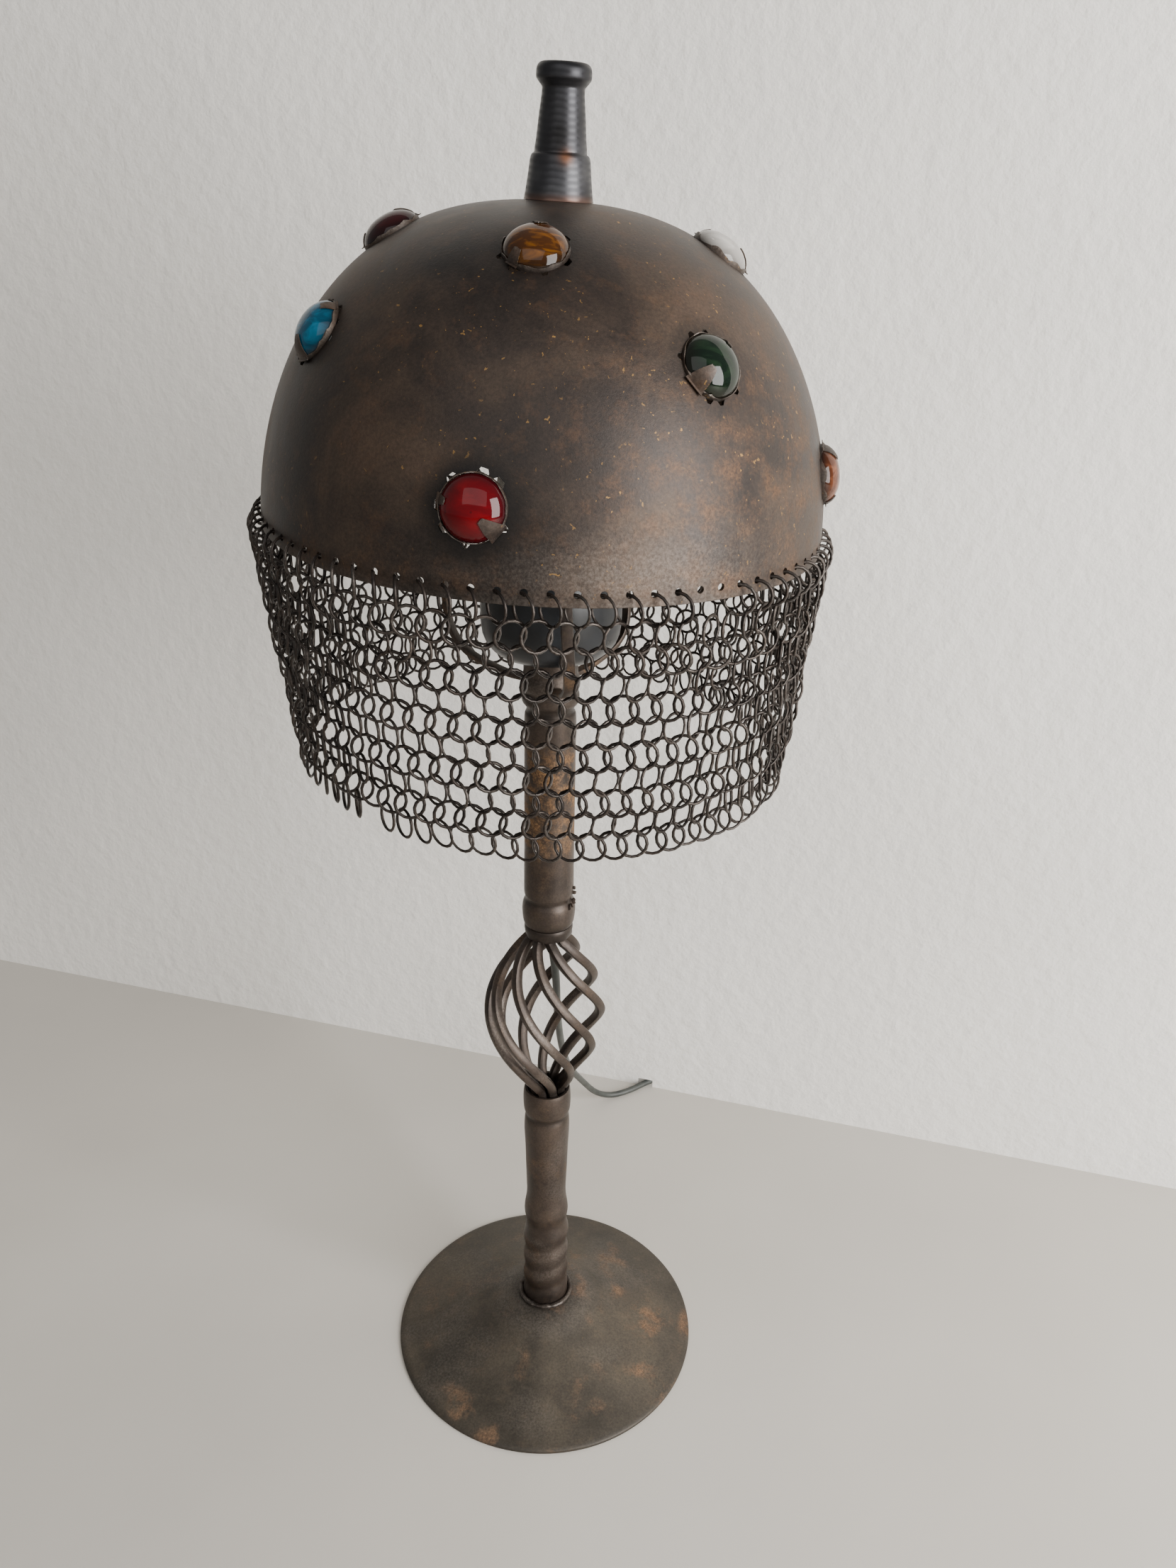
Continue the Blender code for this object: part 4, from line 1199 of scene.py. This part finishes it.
def makeMail():
    ring = hoop(mail["ringMid"], 0, mail["wire"], 4, 16)
    bmesh.ops.rotate(ring, verts=ring.verts, matrix=Matrix.Rotation(pi / 2, 3, "X"))
    template = meshOf(ring, "ring")
    jitter = Random(80)
    whole = bmesh.new()
    tints = []
    drop = mail["topDrop"]
    for row in range(mail["rows"]):
        if row:
            share = row / (mail["rows"] - 1)
            drop += mail["pitchTop"] + (mail["pitchBottom"] - mail["pitchTop"]) * share
        radius = mailRadius(drop)
        lace = mail["yaw"] if row else mail["laceYaw"]
        for i in range(mail["perRow"]):
            if (row, i) in mail["missing"]:
                continue
            azimuth = skull["lacePhase"] + (i + 0.5 * (row % 2)) * 2 * pi / mail["perRow"]
            loose = (1.0 + 0.9 * hump(turnGap(azimuth, radians(75)), 0, 0.5)
                     + 0.5 * hump(turnGap(azimuth, radians(-75)), 0, 0.4))
            sway = loose if row else 0.0
            yaw = (-lace if row % 2 else lace) + radians(jitter.gauss(0, mail["yawSpread"])) * loose
            tilt = radians(jitter.gauss(0, mail["tiltSpread"])) * sway
            roll = jitter.uniform(0, 2 * pi)
            wave = mail["wave"] * noise.noise(Vector((sin(azimuth) * 3, cos(azimuth) * 3, row * 0.22))) * sway
            drift = radians(jitter.gauss(0, mail["turnSpread"])) * sway
            place = around(azimuth + drift, radius + wave, -drop + jitter.gauss(0, mail["dropSpread"]) * sway)
            lean = leanY * skull["radius"] * cos(azimuth) - leanX * skull["radius"] * sin(azimuth)
            turn = Matrix.Rotation(azimuth - yaw, 4, "Z") @ Matrix.Rotation(tilt, 4, "X")
            matrix = (Matrix.Translation(rimCentre + place + Vector((0, 0, lean))) @ turn
                      @ Matrix.Rotation(roll, 4, "Y"))
            template.transform(matrix)
            whole.from_mesh(template)
            template.transform(matrix.inverted())
            tints.append(jitter.random())
    layer = whole.verts.layers.float.new("scuff")
    perRing = len(template.vertices)
    for index, vert in enumerate(whole.verts):
        vert[layer] = 0.35 * tints[index // perRing] ** 2
    finishPiece(whole, "mailSkirt", wireMaterial, "helmet", ["mail_skirt"], sharp=180)
    # a loose end of thin wire, sprung out of the mail at the right
    spring = []
    for i in range(15):
        side = 1 if i % 2 else -1
        spring.append(around(radians(97) + side * 0.012, 109.5 * mm + side * 1.2 * mm, 0.402 - i * 1.9 * mm))
    line = smoothLine([p + Vector((rimCentre.x, 0, 0)) for p in spring], 3)
    finishPiece(swept(line, 6, mail["looseWire"]), "looseWire", wireMaterial, "helmet", ())


makeMail()
print("mail made")


# Plume holder

plume = {  # outlines are (radius, height above the seat) in mm
    "seat": 116.6, "steps": 96,
    "outside": ((12.6, 0.0), (12.4, 0.8), (12.0, 3.5), (11.4, 8.0), (11.0, 11.5), (10.75, 13.5), (10.2, 14.7),
                (9.45, 15.3), (9.3, 17.0), (8.9, 20.0), (8.35, 26.0), (7.8, 31.0), (7.5, 34.4), (7.7, 35.7),
                (8.7, 36.9), (9.55, 38.0), (9.75, 39.2), (9.7, 40.6), (9.4, 41.8), (8.6, 42.7), (7.6, 43.1),
                (7.0, 42.9), (6.6, 42.0)),
    "bore": ((6.4, 38.0), (6.2, 33.0), (4.3, 30.0), (4.3, 0.4)),
}


def makePlume():
    seat = plume["seat"]
    outside = smoothProfile([(r, z + seat) for r, z in plume["outside"]], 3)
    bore = inMetres((r, z + seat) for r, z in plume["bore"])
    bm = spun([*outside, *bore], plume["steps"], closed=True)
    seat *= mm
    shoulder = seat + 14 * mm
    worn = around(radians(10), 10.5 * mm, shoulder)
    # painted shade inside the bore; darker towards the top lip; a brown worn spot and a browner lower part
    paint(bm, rust=lambda p: 0.8 * hump((p - worn).length, 0, 2.2 * mm)
          + 0.4 * between(p.z, shoulder - 11 * mm, shoulder - 14 * mm),
          soot=lambda p: 0.75 * between(offAxis(p), 6.9 * mm, 6.4 * mm)
          + 0.35 * between(p.z, seat + 36 * mm, seat + 41 * mm))
    finishPiece(bm, "plumeHolder", steelMaterial, "finial", ["plume_holder"], helmetPlace)


makePlume()
print("plume holder made")


# Lamp fittings inside the helmet; outlines are (radius, height above the piece's foot) in mm

cup = {
    "foot": 392.8 * mm, "steps": 80,
    "outline": ((5.4, 0), (15.0, 0), (19.5, 0.9), (22.5, 2.1), (25.3, 4.3), (27.5, 7.2), (28.8, 10.6),
                (29.4, 15.0), (29.5, 22), (29.5, 36.8), (29.2, 37.8), (28.5, 37.5), (28.5, 15.5),
                (26.5, 7.8), (21.9, 3.1), (14.8, 1.0), (5.4, 1.0)),
}
holder = {
    "steps": 64, "ridges": 9, "pitch": 2.6,
    "foot": ((5.4, 0), (18.6, 0), (19.3, 0.8), (19.5, 2.0), (19.5, 12.0), (19.1, 12.6), (19.1, 13.4),
             (19.5, 14.0)),
    "ridge": ((19.5, 17.0), (19.5, 18.2), (19.0, 18.6), (19.0, 19.2)),
    "mouth": ((19.4, 42.0), (18.9, 43.8)),
}
bulb = {"steps": 64, "contact": ((0, 0), (4.4, 0), (4.8, 0.6), (7.0, 2.0), (12.4, 5.0)), "neck": 12.9 * mm}


def raised(outline, foot):
    return [(radius, foot + height) for radius, height in inMetres(outline)]


def makeFittings():
    enamel = evenFinish("stoveEnamelBlack")
    zinc = evenFinish("zincPlatedSteel")
    phenolic = evenFinish("phenolicHolder")
    bm = spun(raised(cup["outline"], cup["foot"]), cup["steps"], closed=True)
    finishPiece(bm, "holderCup", enamel, "stand", ["holder_cup"], sharp=30)
    low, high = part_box("lampholder")
    ridges = [(r, z + k * holder["pitch"]) for k in range(holder["ridges"]) for r, z in holder["ridge"]]
    bore = [(14.9 * mm, high.z), (14.6 * mm, high.z - 0.4 * mm), *raised(((14.6, 10.2), (5.4, 10.0)), low.z)]
    outside = raised([*holder["foot"], *ridges, *holder["mouth"]], low.z)
    bm = spun([*outside, *bore], holder["steps"], closed=True)
    finishPiece(bm, "lampHolder", phenolic, "stand", ["lampholder"], sharp=30)
    # screw cap of the bulb: rolled thread
    low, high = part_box("bulb_cap")
    thread = [(12.75 + 0.42 * sin(k * pi / 3), 5.8 + k * 0.58) for k in range(24)]
    skirt = [(13.1 * mm, high.z - 6.0 * mm), (13.1 * mm, high.z - 0.2 * mm), (12.6 * mm, high.z), (0, high.z)]
    bm = spun([*raised([*bulb["contact"], *thread], low.z), *skirt], bulb["steps"])
    finishPiece(bm, "bulbCap", zinc, "bulb", ["bulb_cap"])
    low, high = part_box("bulb_glass")
    ball = (high.x - low.x) / 2
    centre = high.z - ball
    outline = [(0, high.z)]
    for i in range(1, 27):
        angle = pi / 2 - i * radians(5.6)
        outline.append((ball * cos(angle), centre + ball * sin(angle)))
    outline += [(bulb["neck"], low.z + 1.5 * mm), (bulb["neck"], low.z)]
    inner = [(max(0.0, r - 0.8 * mm), z - 0.7 * mm if z > centre else z + 0.1 * mm)
             for r, z in outline[-2:0:-1]]
    bm = spun([*outline, *inner, (0, high.z - 0.8 * mm)], bulb["steps"])
    finishPiece(bm, "bulbGlass", evenFinish("frostedSodaLimeGlass"), "bulb", ["bulb_glass"])
    # carried CAD fittings take the real finishes
    finishes = {**dict.fromkeys(("holder_nipple", "stem_bush", "harp_nut", "harp_stud"), zinc),
                "cord_grommet": phenolic, "inner_flex": cordPiece.data.materials[0],
                "harp_crown": barMaterial}
    for node, material in finishes.items():
        frame["nodes"][node].data.materials.clear()
        frame["nodes"][node].data.materials.append(material)


harp = {
    "width": 4.8 * mm, "thick": 2.2 * mm, "foot": 392.5 * mm,
    "azimuths": {"front": 10, "left": -110, "rear": 132},
    "side": ((13.1, 381.2), (20.0, 382.2), (32.0, 386.2), (40.0, 391.0), (45.0, 399.0), (46.2, 412.0),
             (46.2, 450.0), (45.5, 482.0), (42.5, 508.0), (37.0, 530.0), (29.0, 548.0), (21.0, 557.0),
             (13.8, 561.2)),
}


def makeHarp():
    # flat bars from the tube's head to the crown plate, drifting with the helmet's lean as they rise
    side = smoothLine([(r * mm, 0, z * mm) for r, z in harp["side"]], 5)
    for name, degrees in harp["azimuths"].items():
        azimuth = radians(degrees)
        points = []
        for p in side:
            rise = p.z - rimCentre.z
            share = min(1.0, max(0.0, (p.z - harp["foot"]) / (rimCentre.z - harp["foot"])))
            drift = Vector(((rimCentre.x + leanX * rise) * share, leanY * rise * share, 0))
            points.append(around(azimuth, p.x, p.z) + drift)
        across = Vector((cos(azimuth), sin(azimuth), 0))
        bm = swept(points, 16, harp["thick"], harp["width"], square=0.9, upright=across)
        for vert in bm.verts:
            vert.co += 0.06 * mm * noise.noise_vector(vert.co * 120)
        paint(bm, rust=lambda p: 0.6 * blotch(p, 50, 0.0, 0.35))
        finishPiece(bm, f"harpStrap{name.capitalize()}", barMaterial, "stand", [f"harp_strap_{name}"])


makeFittings()
makeHarp()
print("fittings made")
